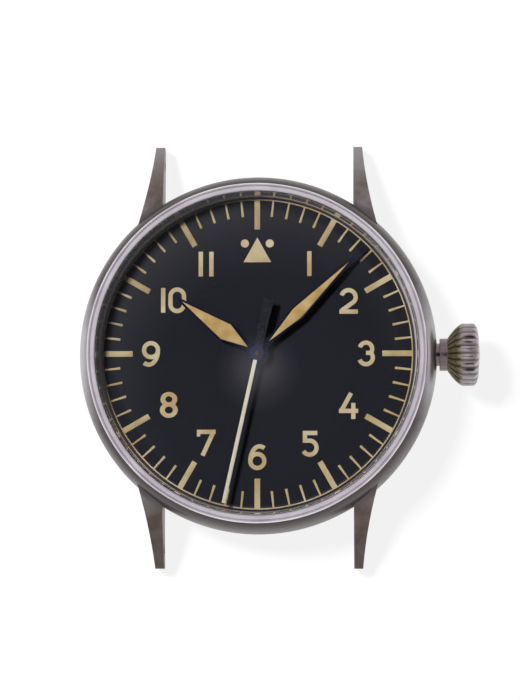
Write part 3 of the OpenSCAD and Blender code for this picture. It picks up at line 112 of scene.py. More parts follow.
# Plated brass: pearled in 1.4 mm rings that catch the light, with a faint grain between them
plated, shader = surface("pearled_plated_brass", "#b9b3a4", 0.3, 1.0)
place = add(plated, "TexCoord").outputs["Object"]
rings = add(plated, "TexVoronoi", {"Vector": place, "Scale": per(1.4), "Randomness": 0.15},
            feature="DISTANCE_TO_EDGE")
grain = add(plated, "TexNoise", {"Vector": place, "Scale": per(0.12), "Detail": 3.0})
tone = add(plated, "ValToRGB", {"Fac": grain.outputs["Fac"]})
tone.color_ramp.elements[0].color = linear("#a39c8c")
tone.color_ramp.elements[1].color = linear("#c9c4b6")
bump = add(plated, "Bump", {"Height": rings.outputs["Distance"], "Strength": 0.25,
                            "Distance": 0.05 * MM})
feed(plated, tone.outputs["Color"], shader, "Base Color")
feed(plated, bump.outputs["Normal"], shader, "Normal")
for node in ("main_plate", "barrel_bridge", "train_bridge", "balance_cock", "pallet_bridge",
             "movement_ring"):
    dress(node, plated)

# Wheels of the train
# Barrel, centre, third, seconds, hour and minute wheels and the balance are stamped brass,
# gilded, with fine turning marks left by the lathe.
gilt, shader = surface("gilt_turned_brass", "#c8a254", 0.28, 1.0)
place = add(gilt, "TexCoord").outputs["Object"]
turning = add(gilt, "TexNoise", {"Vector": place, "Scale": per(0.08), "Detail": 2.0})
patina = add(gilt, "TexNoise", {"Vector": place, "Scale": per(2.5), "Detail": 4.0})
tone = add(gilt, "ValToRGB", {"Fac": patina.outputs["Fac"]})
tone.color_ramp.elements[0].color = linear("#b18a45")
tone.color_ramp.elements[1].color = linear("#d8b567")
rough = add(gilt, "MapRange", {"Value": turning.outputs["Fac"], "To Min": 0.2, "To Max": 0.4})
feed(gilt, tone.outputs["Color"], shader, "Base Color")
feed(gilt, rough.outputs["Result"], shader, "Roughness")
for node in ("barrel_drum", "barrel_cover", "centre_wheel", "third_wheel", "seconds_wheel",
             "balance_wheel", "minute_wheel", "hour_wheel"):
    dress(node, gilt)

# Steel parts of the movement
# Pinions, levers, springs and the crown and ratchet wheels are hardened steel, ground and
# then polished on a tin plate.
ground, shader = surface("ground_hardened_steel", "#a8a4a2", 0.25, 1.0)
place = add(ground, "TexCoord").outputs["Object"]
stretch = add(ground, "Mapping", {"Vector": place, "Scale": (1.0, 12.0, 1.0)})
lines = add(ground, "TexNoise", {"Vector": stretch.outputs["Vector"], "Scale": per(0.9), "Detail": 5.0})
rough = add(ground, "MapRange", {"Value": lines.outputs["Fac"], "To Min": 0.16, "To Max": 0.4})
bump = add(ground, "Bump", {"Height": lines.outputs["Fac"], "Strength": 0.12, "Distance": 0.01 * MM})
feed(ground, rough.outputs["Result"], shader, "Roughness")
feed(ground, bump.outputs["Normal"], shader, "Normal")
for node in ("cannon_pinion", "barrel_arbor", "ratchet_wheel", "crown_wheel", "click", "click_spring",
             "mainspring", "escape_wheel", "pallet_fork", "balance_roller", "regulator",
             "winding_pinion", "sliding_pinion", "setting_lever", "yoke", "setting_lever_spring",
             "setting_wheel", "winding_stem", "casing_clamps"):
    dress(node, ground)

# Jewels and stones
# Synthetic ruby, ground to rings and blades and pressed into the plates and the fork.
ruby, shader = surface("synthetic_ruby", "#b01f48", 0.06, 0.0, IOR=1.76, Coat_Weight=0.3)
place = add(ruby, "TexCoord").outputs["Object"]
cloud = add(ruby, "TexNoise", {"Vector": place, "Scale": per(0.4), "Detail": 2.0})
tone = add(ruby, "ValToRGB", {"Fac": cloud.outputs["Fac"]})
tone.color_ramp.elements[0].color = linear("#8f1238")
tone.color_ramp.elements[1].color = linear("#cc3a62")
feed(ruby, tone.outputs["Color"], shader, "Base Color")
for node in ("jewels", "pallet_stones"):
    dress(node, ruby)

# Blued screws and hairspring
# Carbon steel, polished and then heated until its oxide turns blue.
blue_steel, shader = surface("heat_blued_steel", "#20306a", 0.18, 1.0)
place = add(blue_steel, "TexCoord").outputs["Object"]
oxide = add(blue_steel, "TexNoise", {"Vector": place, "Scale": per(1.6), "Detail": 3.0})
tone = add(blue_steel, "ValToRGB", {"Fac": oxide.outputs["Fac"]})
tone.color_ramp.elements[0].color = linear("#182352")
tone.color_ramp.elements[1].color = linear("#31478c")
feed(blue_steel, tone.outputs["Color"], shader, "Base Color")
for node in ("bridge_screws", "casing_screws", "ratchet_screw", "hairspring"):
    dress(node, blue_steel)

# Gaskets
# Moulded nitrile rings: one under the crystal, one under the caseback and one in the crown.
nitrile, shader = surface("moulded_nitrile", "#26262a", 0.55)
place = add(nitrile, "TexCoord").outputs["Object"]
pores = add(nitrile, "TexNoise", {"Vector": place, "Scale": per(0.15), "Detail": 4.0})
bump = add(nitrile, "Bump", {"Height": pores.outputs["Fac"], "Strength": 0.2, "Distance": 0.02 * MM})
feed(nitrile, bump.outputs["Normal"], shader, "Normal")
for node in ("crystal_gasket", "caseback_gasket", "crown_gasket"):
    dress(node, nitrile)

# Dial
# A brass disc under matt black lacquer, faded a little and dusty after decades, with a hole for
# the hour wheel's tube.
ROUND_STEPS = 240
MERGE = 0.002 * MM


def turned(profile, steps=ROUND_STEPS):
    """A closed profile of radius and height in millimetres, spun round the hand axis."""
    mesh = bmesh.new()
    chain = [mesh.verts.new((r * MM, 0, z * MM)) for r, z in profile]
    edges = [mesh.edges.new(pair) for pair in zip(chain, chain[1:] + chain[:1])]
    bmesh.ops.spin(mesh, geom=chain + edges, cent=(0, 0, 0), axis=(0, 0, 1), angle=math.tau,
                   steps=steps, use_merge=True)
    bmesh.ops.remove_doubles(mesh, verts=mesh.verts, dist=MERGE)
    bmesh.ops.recalc_face_normals(mesh, faces=mesh.faces)
    return mesh


def round_edges(mesh, radius, segments, least=25, edges=None):
    """Rounds the edges that turn by more than the least angle."""
    sharp = [e for e in (edges or mesh.edges)
             if e.is_manifold and e.calc_face_angle() > math.radians(least)]
    bmesh.ops.bevel(mesh, geom=sharp, offset=radius * MM, offset_type="OFFSET", segments=segments,
                    profile=0.5, affect="EDGES", clamp_overlap=True, material=-1)


def fit(name, mesh, material, body, slot, *nodes):
    """Makes the finished mesh a piece that rides on a body and stands for its CAD nodes."""
    data = bpy.data.meshes.new(name)
    mesh.to_mesh(data)
    mesh.free()
    data.polygons.foreach_set("use_smooth", [True] * len(data.polygons))
    data.set_sharp_from_angle(angle=math.radians(32))
    data.materials.append(material)
    made = bpy.data.objects.new(name, data)
    bpy.context.scene.collection.objects.link(made)
    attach(made, body)
    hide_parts(*nodes)
    return made


dial_low, dial_high = (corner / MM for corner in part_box("dial"))
DIAL_HOLE_R = 0.98
lacquer, shader = surface("matt_black_lacquer", "#232429", 0.6, Specular_IOR_Level=0.02)
place = add(lacquer, "TexCoord").outputs["Object"]
dust = add(lacquer, "TexNoise", {"Vector": place, "Scale": per(0.35), "Detail": 6.0, "Roughness": 0.7})
fade = add(lacquer, "TexNoise", {"Vector": place, "Scale": per(9), "Detail": 2.0})
tone = add(lacquer, "ValToRGB", {"Fac": fade.outputs["Fac"]})
tone.color_ramp.elements[0].color = linear("#1f2025")
tone.color_ramp.elements[1].color = linear("#25262c")
rough = add(lacquer, "MapRange", {"Value": dust.outputs["Fac"], "To Min": 0.5, "To Max": 0.72})
bump = add(lacquer, "Bump", {"Height": dust.outputs["Fac"], "Strength": 0.03, "Distance": 0.01 * MM})
feed(lacquer, tone.outputs["Color"], shader, "Base Color")
feed(lacquer, rough.outputs["Result"], shader, "Roughness")
feed(lacquer, bump.outputs["Normal"], shader, "Normal")
plate = turned([(DIAL_HOLE_R, dial_low.z), (dial_high.x, dial_low.z),
                (dial_high.x, dial_high.z), (DIAL_HOLE_R, dial_high.z)])
round_edges(plate, 0.04, 2)
fit("dial_plate", plate, lacquer, "case", "dial_black", "dial")

# Minute track and numerals
# Luminous paint, printed thick and aged from cream to beige: a circle, sixty marks, the
# triangle with its two dots, and the numbers.
paints = []
for name, dull, pale in (("aged_track_paint", "#a58e66", "#bfb08e"),
                         ("aged_numeral_paint", "#b09a70", "#c9bc9e")):
    paint, shader = surface(name, "#b8a478", 0.75, Specular_IOR_Level=0.15)
    place = add(paint, "TexCoord").outputs["Object"]
    age = add(paint, "TexNoise", {"Vector": place, "Scale": per(3.0), "Detail": 3.0})
    grit = add(paint, "TexNoise", {"Vector": place, "Scale": per(0.12), "Detail": 3.0})
    tone = add(paint, "ValToRGB", {"Fac": age.outputs["Fac"]})
    tone.color_ramp.elements[0].position = 0.35
    tone.color_ramp.elements[0].color = linear(dull)
    tone.color_ramp.elements[1].position = 0.68
    tone.color_ramp.elements[1].color = linear(pale)
    bump = add(paint, "Bump", {"Height": grit.outputs["Fac"], "Strength": 0.35, "Distance": 0.02 * MM})
    feed(paint, tone.outputs["Color"], shader, "Base Color")
    feed(paint, bump.outputs["Normal"], shader, "Normal")
    paints.append(paint)


def copied(node):
    """A merged copy of a CAD node's mesh, with its flat faces whole again."""
    mesh = bmesh.new()
    mesh.from_mesh(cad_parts[node].data)
    bmesh.ops.remove_doubles(mesh, verts=mesh.verts, dist=MERGE)
    bmesh.ops.dissolve_limit(mesh, angle_limit=math.radians(1), verts=mesh.verts, edges=mesh.edges)
    return mesh


TOP_CORNER = 40


def top_edges(mesh):
    """The outer edges of the highest flat faces."""
    return [e for e in mesh.edges if e.is_manifold
            and sorted(f.normal.z > 0.9 for f in e.link_faces) == [False, True]]


marks = copied("minute_track")
PRINT_ROUND = 0.035
round_edges(marks, PRINT_ROUND, 2, TOP_CORNER, top_edges(marks))
fit("printed_track", marks, paints[0], "case", "cream_lume", "minute_track")
dress("dial_numerals", paints[1])

# Hour and minute hands
# Kite-shaped hands, stamped from steel and blued. Their openings are filled with luminous paint
# that has turned to a warm tan.
navy, shader = surface("dark_blued_hands", "#141a30", 0.34, 0.7)
place = add(navy, "TexCoord").outputs["Object"]
oxide = add(navy, "TexNoise", {"Vector": place, "Scale": per(0.9), "Detail": 3.0})
tone = add(navy, "ValToRGB", {"Fac": oxide.outputs["Fac"]})
tone.color_ramp.elements[0].color = linear("#0e1222")
tone.color_ramp.elements[1].color = linear("#1e2646")
feed(navy, tone.outputs["Color"], shader, "Base Color")
filling, shader = surface("tan_luminous_filling", "#be9a5c", 0.8, Specular_IOR_Level=0.2)
place = add(filling, "TexCoord").outputs["Object"]
age = add(filling, "TexNoise", {"Vector": place, "Scale": per(1.3), "Detail": 4.0})
tone = add(filling, "ValToRGB", {"Fac": age.outputs["Fac"]})
tone.color_ramp.elements[0].position = 0.35
tone.color_ramp.elements[0].color = linear("#af9058")
tone.color_ramp.elements[1].position = 0.7
tone.color_ramp.elements[1].color = linear("#c6ab79")
grit = add(filling, "TexNoise", {"Vector": place, "Scale": per(0.1), "Detail": 3.0})
bump = add(filling, "Bump", {"Height": grit.outputs["Fac"], "Strength": 0.4, "Distance": 0.02 * MM})
feed(filling, tone.outputs["Color"], shader, "Base Color")
feed(filling, bump.outputs["Normal"], shader, "Normal")
BLADE_ROUND, FILLING_ROUND = 0.05, 0.06
for hand, body in (("hour_hand", "hour"), ("minute_hand", "centre")):
    blade = copied(hand)
    round_edges(blade, BLADE_ROUND, 2, TOP_CORNER, top_edges(blade))
    fit(hand + "_blade", blade, navy, body, "blued_steel", hand)
    lume = copied(hand + "_lume")
    round_edges(lume, FILLING_ROUND, 2, TOP_CORNER, top_edges(lume))
    fit(hand + "_filling", lume, filling, body, "hand_lume", hand + "_lume")

# Seconds hand
# A long steel needle painted cream, riveted to a hub with a blackened rectangular tail.
cream, shader = surface("cream_hand_enamel", "#e6e0c8", 0.5, Specular_IOR_Level=0.4)
place = add(cream, "TexCoord").outputs["Object"]
stain = add(cream, "TexNoise", {"Vector": place, "Scale": per(1.0), "Detail": 3.0})
tone = add(cream, "ValToRGB", {"Fac": stain.outputs["Fac"]})
tone.color_ramp.elements[0].color = linear("#c4bca6")
tone.color_ramp.elements[1].color = linear("#d8d3c3")
feed(cream, tone.outputs["Color"], shader, "Base Color")
NEEDLE_ROUND, TAIL_ROUND = 0.04, 0.03
needle = copied("seconds_hand")
round_edges(needle, NEEDLE_ROUND, 2, TOP_CORNER, top_edges(needle))
fit("seconds_needle", needle, cream, "seconds", "seconds_cream", "seconds_hand")
# Blackened steel: a dark oxide, brushed along the tail and rubbed bare at the rim
black_oxide, shader = surface("blackened_steel_tail", "#1e1f24", 0.5, 0.4)
place = add(black_oxide, "TexCoord").outputs["Object"]
rubbed = add(black_oxide, "TexNoise", {"Vector": place, "Scale": per(0.25), "Detail": 5.0,
                                       "Roughness": 0.7})
tone = add(black_oxide, "ValToRGB", {"Fac": rubbed.outputs["Fac"]})
tone.color_ramp.elements[0].position = 0.42
tone.color_ramp.elements[0].color = linear("#141519")
tone.color_ramp.elements[1].position = 0.66
tone.color_ramp.elements[1].color = linear("#3a3c42")
# Its hub is blued like the other hands
HUB_R, HUB_FADE = 0.9, 0.2
centre = add(black_oxide, "VectorMath", {0: place, 1: (1.0, 1.0, 0.0)}, operation="MULTIPLY")
centre = add(black_oxide, "VectorMath", {0: centre.outputs["Vector"]}, operation="LENGTH")
arm = add(black_oxide, "MapRange", {"Value": centre.outputs["Value"], "From Min": HUB_R * MM,
                                    "From Max": (HUB_R + HUB_FADE) * MM})
tone = add(black_oxide, "Mix", {0: arm.outputs["Result"], 6: linear("#2a2c46"),
                                7: tone.outputs["Color"]}, data_type="RGBA")
bump = add(black_oxide, "Bump", {"Height": rubbed.outputs["Fac"], "Strength": 0.4,
                                 "Distance": 0.02 * MM})
feed(black_oxide, tone.outputs[2], shader, "Base Color")
feed(black_oxide, bump.outputs["Normal"], shader, "Normal")
tail = copied("seconds_hand_tail")
round_edges(tail, TAIL_ROUND, 2, TOP_CORNER, top_edges(tail))
fit("seconds_tail", tail, black_oxide, "seconds", "blued_steel", "seconds_hand_tail")

# Case middle
# A turned steel ring with four lugs soldered on, filed to a taper and drilled for the strap
# bars. It was grained once and is now dulled, scratched and stained where skin rubbed it.
# Its round band also carries a painted reflection, set out below.
worn_sheen_steel, shader = surface("worn_grained_steel_painted_sheen", "#98949a", 0.36, 1.0)
place = add(worn_sheen_steel, "TexCoord").outputs["Object"]
stain = add(worn_sheen_steel, "TexNoise", {"Vector": place, "Scale": per(5.0), "Detail": 5.0, "Roughness": 0.6})
brown = add(worn_sheen_steel, "ValToRGB", {"Fac": stain.outputs["Fac"]})
brown.color_ramp.elements[0].position = 0.38
brown.color_ramp.elements[0].color = linear("#6b5f55")
brown.color_ramp.elements[1].position = 0.66
brown.color_ramp.elements[1].color = linear("#938d8e")
# Painted reflection: the flanks at three and nine o'clock are painted bright, and the round band at the
# strap sides a darker grey
beside = add(worn_sheen_steel, "SeparateXYZ", {"Vector": place})
beside = add(worn_sheen_steel, "Math", {0: beside.outputs["Y"]}, operation="ABSOLUTE")
ragged = add(worn_sheen_steel, "Math", {0: stain.outputs["Fac"], 1: 6 * MM, 2: beside.outputs["Value"]},
             operation="MULTIPLY_ADD")
SHEEN_FROM, SHEEN_TO = 4.5, 11
painted_flank_sheen = add(worn_sheen_steel, "MapRange", {"Value": ragged.outputs["Value"], "From Min": SHEEN_FROM * MM,
                              "From Max": SHEEN_TO * MM, "To Min": 1.0, "To Max": 0.0})
# The lugs begin just outside the round band
LUG_FROM, LUG_TO = 20.9, 21.6
reach = add(worn_sheen_steel, "VectorMath", {0: place, 1: (1.0, 1.0, 0.0)}, operation="MULTIPLY")
reach = add(worn_sheen_steel, "VectorMath", {0: reach.outputs["Vector"]}, operation="LENGTH")
lug = add(worn_sheen_steel, "MapRange", {"Value": reach.outputs["Value"], "From Min": LUG_FROM * MM,
                             "From Max": LUG_TO * MM})
# The upper lugs turn paler towards their tips, and the lower ones darker
along = add(worn_sheen_steel, "SeparateXYZ", {"Vector": place}).outputs["Y"]
upper = add(worn_sheen_steel, "MapRange", {"Value": along, "From Min": 19 * MM, "From Max": 26 * MM, "To Max": 0.8})
lower = add(worn_sheen_steel, "MapRange", {"Value": along, "From Min": -15 * MM, "From Max": -22 * MM,
                               "To Max": 0.5})
lugs = add(worn_sheen_steel, "Mix", {0: upper.outputs["Result"], 6: brown.outputs["Color"], 7: linear("#aaa6a6")},
           data_type="RGBA")
lugs = add(worn_sheen_steel, "Mix", {0: lower.outputs["Result"], 6: lugs.outputs[2], 7: linear("#4a433d")},
           data_type="RGBA")
# The round band's darker grey is painted dark reflection, wherever no bright flank is painted
dull = add(worn_sheen_steel, "Mix", {0: lug.outputs["Result"], 6: linear("#666060"), 7: lugs.outputs[2]},
           data_type="RGBA")
tone = add(worn_sheen_steel, "Mix", {0: painted_flank_sheen.outputs["Result"], 6: dull.outputs[2], 7: linear("#bcb8bc")},
           data_type="RGBA")
scuff = add(worn_sheen_steel, "TexNoise", {"Vector": place, "Scale": per(0.5), "Detail": 6.0, "Roughness": 0.7})
rough = add(worn_sheen_steel, "MapRange", {"Value": scuff.outputs["Fac"], "To Min": 0.28, "To Max": 0.5})
bump = add(worn_sheen_steel, "Bump", {"Height": scuff.outputs["Fac"], "Strength": 0.15, "Distance": 0.03 * MM})
feed(worn_sheen_steel, tone.outputs[2], shader, "Base Color")
feed(worn_sheen_steel, rough.outputs["Result"], shader, "Roughness")
feed(worn_sheen_steel, bump.outputs["Normal"], shader, "Normal")
CASE_ROUND, CASE_CORNER = 0.12, 50
case = copied("case_middle")
round_edges(case, CASE_ROUND, 3, CASE_CORNER)
fit("case_band", case, worn_sheen_steel, "case", "brushed_case", "case_middle")

# Caseback
# A steel disc, turned and brushed in circles, screwed into the case from behind. Six notches
# take its key.
brushed, shader = surface("circular_brushed_steel", "#a19d9f", 0.34, 1.0)
place = add(brushed, "TexCoord").outputs["Object"]
circles = add(brushed, "TexWave", {"Vector": place, "Scale": per(1.1), "Distortion": 1.5, "Detail": 3.0},
              wave_type="RINGS", rings_direction="Z")
scuff = add(brushed, "TexNoise", {"Vector": place, "Scale": per(0.6), "Detail": 6.0})
rough = add(brushed, "MapRange", {"Value": scuff.outputs["Fac"], "To Min": 0.26, "To Max": 0.44})
bump = add(brushed, "Bump", {"Height": circles.outputs["Fac"], "Strength": 0.1, "Distance": 0.02 * MM})
feed(brushed, rough.outputs["Result"], shader, "Roughness")
feed(brushed, bump.outputs["Normal"], shader, "Normal")
BACK_ROUND, BACK_CORNER = 0.08, 30
back = copied("caseback")
round_edges(back, BACK_ROUND, 2, BACK_CORNER)
fit("screwed_back", back, brushed, "case", "brushed_case", "caseback")

# Rehaut ring
# The polished steel wall between the dial and the crystal, turned to a steep cone and laid in
# the case from above. It mirrors the minute marks.
mirror, shader = surface("polished_steel_wall", "#d2ced2", 0.05, 0.65)
place = add(mirror, "TexCoord").outputs["Object"]
haze = add(mirror, "TexNoise", {"Vector": place, "Scale": per(2.0), "Detail": 3.0})
rough = add(mirror, "MapRange", {"Value": haze.outputs["Fac"], "To Min": 0.03, "To Max": 0.06})
# Painted highlight: above its foot, the wall turns matt towards the lower right, on the side that faces
# the lamp, so the lamp lights it there in place of its gleam
WALL_FOOT_R, WALL_TOP_R = 18.13, 18.75
LAMP_SIDE_FROM, LAMP_SIDE_TO = 1, 9
side = add(mirror, "VectorMath", {0: place, 1: (0.81, -0.58, 0.0)}, operation="DOT_PRODUCT")
side = add(mirror, "MapRange", {"Value": side.outputs["Value"], "From Min": LAMP_SIDE_FROM * MM,
                               "From Max": LAMP_SIDE_TO * MM})
flat = add(mirror, "VectorMath", {0: place, 1: (1.0, 1.0, 0.0)}, operation="MULTIPLY")
flat = add(mirror, "VectorMath", {0: flat.outputs["Vector"]}, operation="LENGTH")
above = add(mirror, "MapRange", {"Value": flat.outputs["Value"], "From Min": 18.2 * MM,
                                "From Max": 18.32 * MM})
lamp_side_matt = add(mirror, "Math", {0: side.outputs["Result"], 1: above.outputs["Result"]},
             operation="MULTIPLY")
rough = add(mirror, "Mix", {0: lamp_side_matt.outputs["Value"], 2: rough.outputs["Result"], 3: 0.4})
# Matt where the lamp falls: a painted highlight in place of the wall's gleam
metal = add(mirror, "MapRange", {"Value": lamp_side_matt.outputs["Value"], "To Min": 0.95, "To Max": 0.05})
feed(mirror, metal.outputs["Result"], shader, "Metallic")
feed(mirror, rough.outputs[0], shader, "Roughness")
wall_low, wall_high = (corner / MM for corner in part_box("rehaut_ring"))
WALL_STEPS = 360
wall = turned([(WALL_FOOT_R, wall_low.z), (wall_high.x, wall_low.z), (wall_high.x, wall_high.z),
               (WALL_TOP_R, wall_high.z)], WALL_STEPS)
fit("rehaut_wall", wall, mirror, "case", "polished_steel", "rehaut_ring")

# Crystal
# Domed acrylic, turned on a lathe and polished, with a flange that the bezel's lip holds down.
# Light passes it without a shadow of its own.
acrylic, shader = surface("polished_acrylic", "#ffffff", 0.02, 0.0, IOR=1.49, Transmission_Weight=1.0,
                          Specular_IOR_Level=0.3)
lamps = add(acrylic, "LightPath").outputs["Is Shadow Ray"]
through = add(acrylic, "BsdfTransparent")
both = add(acrylic, "MixShader", {0: lamps, 1: shader.outputs["BSDF"], 2: through.outputs["BSDF"]})
material_out = acrylic.node_tree.nodes["Material Output"]
feed(acrylic, both.outputs["Shader"], material_out, "Surface")
glass_low, glass_high = (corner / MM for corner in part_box("crystal"))
EDGE_R, EDGE_Z, FLANGE_Z, THICK, ARC_STEPS = 18.72, 10.75, 10.05, 1.3, 16
steps = [i / ARC_STEPS for i in range(ARC_STEPS + 1)]
inner_z = glass_high.z - THICK
dome = [(EDGE_R * (1 - t), EDGE_Z + (glass_high.z - EDGE_Z) * (1 - (1 - t) ** 2)) for t in steps]
hollow = [((EDGE_R - THICK) * t, inner_z - (inner_z - glass_low.z) * t ** 2) for t in steps]
glass = turned([(glass_high.x, glass_low.z), (glass_high.x, FLANGE_Z), (EDGE_R, FLANGE_Z),
                *dome, *hollow])
EDGE_ROUND, EDGE_CORNER, NEAR = 0.2, 40, 0.02
round_edges(glass, EDGE_ROUND, 4, EDGE_CORNER,
            [e for e in glass.edges if all(abs(v.co.z - EDGE_Z * MM) < NEAR * MM for v in e.verts)])
fit("domed_crystal", glass, acrylic, "case", "crystal", "crystal")

# Bezel
# A polished steel ring pressed on the case: a wide rounded land, a fine groove and a thin
# outer bead, all softened by wear.
polished, shader = surface("polished_worn_steel", "#e4e0e4", 0.26, 1.0)
place = add(polished, "TexCoord").outputs["Object"]
stain = add(polished, "TexNoise", {"Vector": place, "Scale": per(3.0), "Detail": 4.0})
tone = add(polished, "ValToRGB", {"Fac": stain.outputs["Fac"]})
tone.color_ramp.elements[0].position = 0.35
tone.color_ramp.elements[0].color = linear("#d8d3d8")
tone.color_ramp.elements[1].position = 0.65
tone.color_ramp.elements[1].color = linear("#e8e5e8")
scuff = add(polished, "TexNoise", {"Vector": place, "Scale": per(0.4), "Detail": 6.0})
rough = add(polished, "MapRange", {"Value": scuff.outputs["Fac"], "To Min": 0.28, "To Max": 0.34})
feed(polished, tone.outputs["Color"], shader, "Base Color")
feed(polished, rough.outputs["Result"], shader, "Roughness")
ring_low, ring_high = (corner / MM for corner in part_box("bezel"))
top = ring_high.z
LIP_R, LIP_Z, SKIRT_R, RING_R = 18.76, 10.06, 19.51, 19.75
LAND_R, LAND_W, LAND_FALL = 18.9, 0.46, 0.13
GROOVE_R, GROOVE_W, GROOVE_DEPTH = 19.37, 0.08, 0.22
RING_STEPS, RING_ROUND, RING_CORNER = 288, 0.03, 20
land = [(LIP_R, top - 0.1), (LAND_R, top),
        *[(LAND_R + LAND_W * i / 6, top - LAND_FALL * i / 6) for i in (1, 3, 5, 6)]]
groove = [(GROOVE_R, top - GROOVE_DEPTH), (GROOVE_R + GROOVE_W, top - GROOVE_DEPTH)]
bead = [(19.46, top - 0.1), (19.53, top - 0.03), (19.6, top - 0.04), (19.68, top - 0.12),
        (RING_R, top - 0.32)]
ring = turned([(LIP_R, LIP_Z), *land, *groove, *bead, (RING_R, ring_low.z), (SKIRT_R, ring_low.z),
               (SKIRT_R, LIP_Z)], RING_STEPS)
round_edges(ring, RING_ROUND, 2, RING_CORNER)
fit("pressed_bezel", ring, polished, "case", "polished_steel", "bezel")

# Crown
# An onion crown in steel, milled with deep flutes that a gloved hand can grip, with the
# flutes coloured darker.
crown_steel, shader = surface("worn_crown_steel", "#97928c", 0.3, 1.0)
place = add(crown_steel, "TexCoord").outputs["Object"]
grime = add(crown_steel, "TexNoise", {"Vector": place, "Scale": per(1.2), "Detail": 5.0})
ridge = add(crown_steel, "ValToRGB", {"Fac": grime.outputs["Fac"]})
ridge.color_ramp.elements[0].position = 0.35
ridge.color_ramp.elements[0].color = linear("#8f8584")
ridge.color_ramp.elements[1].position = 0.65
ridge.color_ramp.elements[1].color = linear("#b4aeb2")
# The 24 flutes are coloured darker than the ridges, and the cone olive: the angle round the stem
# tells a flute from a ridge, and the distance along it tells the neck, the cone and the grip
STEM_Z, FLUTES = 5.5, 24
CONE_FROM, GRIP_FROM, GRIP_TO = 22.1, 23.3, 24.1
spot = add(crown_steel, "SeparateXYZ", {"Vector": place})
height = add(crown_steel, "Math", {0: spot.outputs["Z"], 1: STEM_Z * MM}, operation="SUBTRACT")
turn = add(crown_steel, "Math", {0: spot.outputs["Y"], 1: height.outputs["Value"]}, operation="ARCTAN2")
wave = add(crown_steel, "Math", {0: turn.outputs["Value"], 1: FLUTES}, operation="MULTIPLY")
wave = add(crown_steel, "Math", {0: wave.outputs["Value"]}, operation="COSINE")
flute = add(crown_steel, "MapRange", {"Value": wave.outputs["Value"], "From Min": 0.0, "From Max": 0.9})
grip = add(crown_steel, "Mix", {0: flute.outputs["Result"], 6: ridge.outputs["Color"],
                                7: linear("#857c79")}, data_type="RGBA")
cone = add(crown_steel, "Mix", {0: flute.outputs["Result"], 6: linear("#8d8768"),
                                7: linear("#4d452a")}, data_type="RGBA")
outer = add(crown_steel, "MapRange", {"Value": spot.outputs["X"], "From Min": GRIP_FROM * MM,
                                      "From Max": GRIP_TO * MM})
tone = add(crown_steel, "Mix", {0: outer.outputs["Result"], 6: cone.outputs[2], 7: grip.outputs[2]},
           data_type="RGBA")
neck = add(crown_steel, "MapRange", {"Value": spot.outputs["X"], "From Min": CONE_FROM * MM,
                                     "From Max": (CONE_FROM + 0.1) * MM})
tone = add(crown_steel, "Mix", {0: neck.outputs["Result"], 6: linear("#7d7172"), 7: tone.outputs[2]},
           data_type="RGBA")
rough = add(crown_steel, "MapRange", {"Value": flute.outputs["Result"], "To Min": 0.15, "To Max": 0.3})
feed(crown_steel, tone.outputs[2], shader, "Base Color")
feed(crown_steel, rough.outputs["Result"], shader, "Roughness")
CROWN_ROUND, CROWN_CORNER = 0.05, 40
onion = copied("crown")
round_edges(onion, CROWN_ROUND, 2, CROWN_CORNER)
fit("onion_crown", onion, crown_steel, "crown", "brushed_case", "crown")
dress("crown_tube", crown_steel)

# Floor
# A white paper sheet that the watch lies on. It shows as white to the eye and in the metal, and
# keeps the watch's shadow.
SHEET_HALF = 1.5
sheet = bmesh.new()
bmesh.ops.create_grid(sheet, x_segments=1, y_segments=1, size=SHEET_HALF)
data = bpy.data.meshes.new("floor")
sheet.to_mesh(data)
sheet.free()
floor = bpy.data.objects.new("floor", data)
floor.location.z = cad_low.z
bpy.context.scene.collection.objects.link(floor)
white, shader = surface("white_paper", "#6c6c6c", 0.9, Specular_IOR_Level=0.0)
rays = add(white, "LightPath")
seen = add(white, "Math", {0: rays.outputs["Is Camera Ray"], 1: rays.outputs["Is Glossy Ray"]},
           operation="MAXIMUM")
seen = add(white, "Math", {0: seen.outputs["Value"], 1: rays.outputs["Is Transmission Ray"]},
           operation="MAXIMUM")
feed(white, seen.outputs["Value"], shader, "Emission Strength")
shader.inputs["Emission Color"].default_value = linear("#f0f0f0")
data.materials.append(white)

# Light
# One soft lamp from the upper left gives most of the light and throws the deep shadows. Metal
# and glass see a pale room that is dark straight overhead, and matt surfaces get little of it.
world = bpy.data.worlds.new("grey_room")
bpy.context.scene.world = world
world.use_nodes = True
way = add(world, "SeparateXYZ", {"Vector": add(world, "TexCoord").outputs["Generated"]})
rise = add(world, "ValToRGB", {"Fac": way.outputs["Z"]})
rise.color_ramp.elements[0].color = linear("#e6e4e6")
rise.color_ramp.elements[1].position = 0.975
rise.color_ramp.elements[1].color = linear("#202026")
rise.color_ramp.elements.new(0.91).color = linear("#e4e0e6")
rays = add(world, "LightPath")
mirrored = add(world, "Math", {0: rays.outputs["Is Camera Ray"], 1: rays.outputs["Is Glossy Ray"]},
               operation="MAXIMUM")
mirrored = add(world, "Math", {0: mirrored.outputs["Value"], 1: rays.outputs["Is Transmission Ray"]},
               operation="MAXIMUM")
matt = add(world, "Math", {0: rays.outputs["Diffuse Depth"], 1: 0.5}, operation="LESS_THAN")
mirrored = add(world, "Math", {0: mirrored.outputs["Value"], 1: matt.outputs["Value"]},
               operation="MULTIPLY")
MATT_LEVEL = 0.08
level = add(world, "MapRange", {"Value": mirrored.outputs["Value"], "To Min": MATT_LEVEL, "To Max": 1.0})
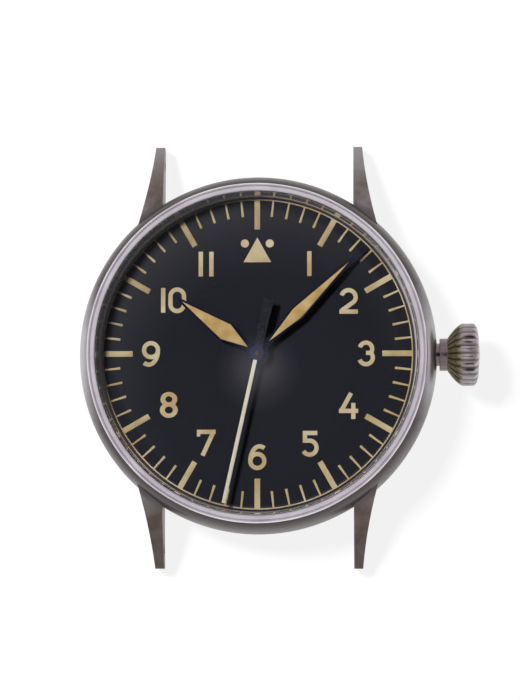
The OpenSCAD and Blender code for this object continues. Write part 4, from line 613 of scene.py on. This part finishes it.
# A faint patch on the ceiling, which the crystal mirrors below the hands
PATCH_WAY, PATCH_CORE, PATCH_RIM = (-0.035, 0.045, 0.998), 0.01, 0.055
patch = add(world, "VectorMath", {0: add(world, "TexCoord").outputs["Generated"], 1: PATCH_WAY},
            operation="DISTANCE")
patch = add(world, "MapRange", {"Value": patch.outputs["Value"], "From Min": PATCH_CORE,
                                "From Max": PATCH_RIM, "To Min": 1.0, "To Max": 0.0})
colour = add(world, "Mix", {0: patch.outputs["Result"], 6: rise.outputs["Color"],
                            7: linear("#ccc8d0")}, data_type="RGBA")
sky = world.node_tree.nodes["Background"]
feed(world, colour.outputs[2], sky, "Color")
feed(world, level.outputs["Result"], sky, "Strength")
lamp = bpy.data.lights.new("key", "AREA")
lamp.size = 0.14
lamp.energy = 7.5
key = bpy.data.objects.new("key", lamp)
key.location = (-0.334, 0.239, 0.686)
key.visible_glossy = False
key.visible_transmission = False
key.rotation_euler = (-Vector(key.location)).to_track_quat("-Z", "Y").to_euler()
bpy.context.scene.collection.objects.link(key)

# Camera
# It looks down on the dial from a little below six o'clock and to the crown's side, and is
# aimed at the bezel's plane, where 700 pixels of height take in 81 mm.
TARGET = Vector((0, 0, 10.6 * MM))
FAR, ASIDE, ABOVE = 350 * MM, 0.4 * MM, 0.25 * MM
elevation, azimuth = math.radians(85.4), math.radians(27)
back = Vector((math.cos(elevation) * math.sin(azimuth), -math.cos(elevation) * math.cos(azimuth),
               math.sin(elevation)))
right = Vector((0, 1, 0)).cross(back).normalized()
up = back.cross(right)
lens = bpy.data.cameras.new("camera")
lens.sensor_width = 36
lens.lens = 155.6
lens.clip_start, lens.clip_end = 0.01, 10
camera = bpy.data.objects.new("camera", lens)
spot = TARGET + back * FAR + right * ASIDE + up * ABOVE
camera.matrix_world = Matrix(((right.x, up.x, back.x, spot.x), (right.y, up.y, back.y, spot.y),
                              (right.z, up.z, back.z, spot.z), (0, 0, 0, 1)))
bpy.context.scene.collection.objects.link(camera)
bpy.context.scene.camera = camera
bpy.context.scene.view_settings.view_transform = "Standard"
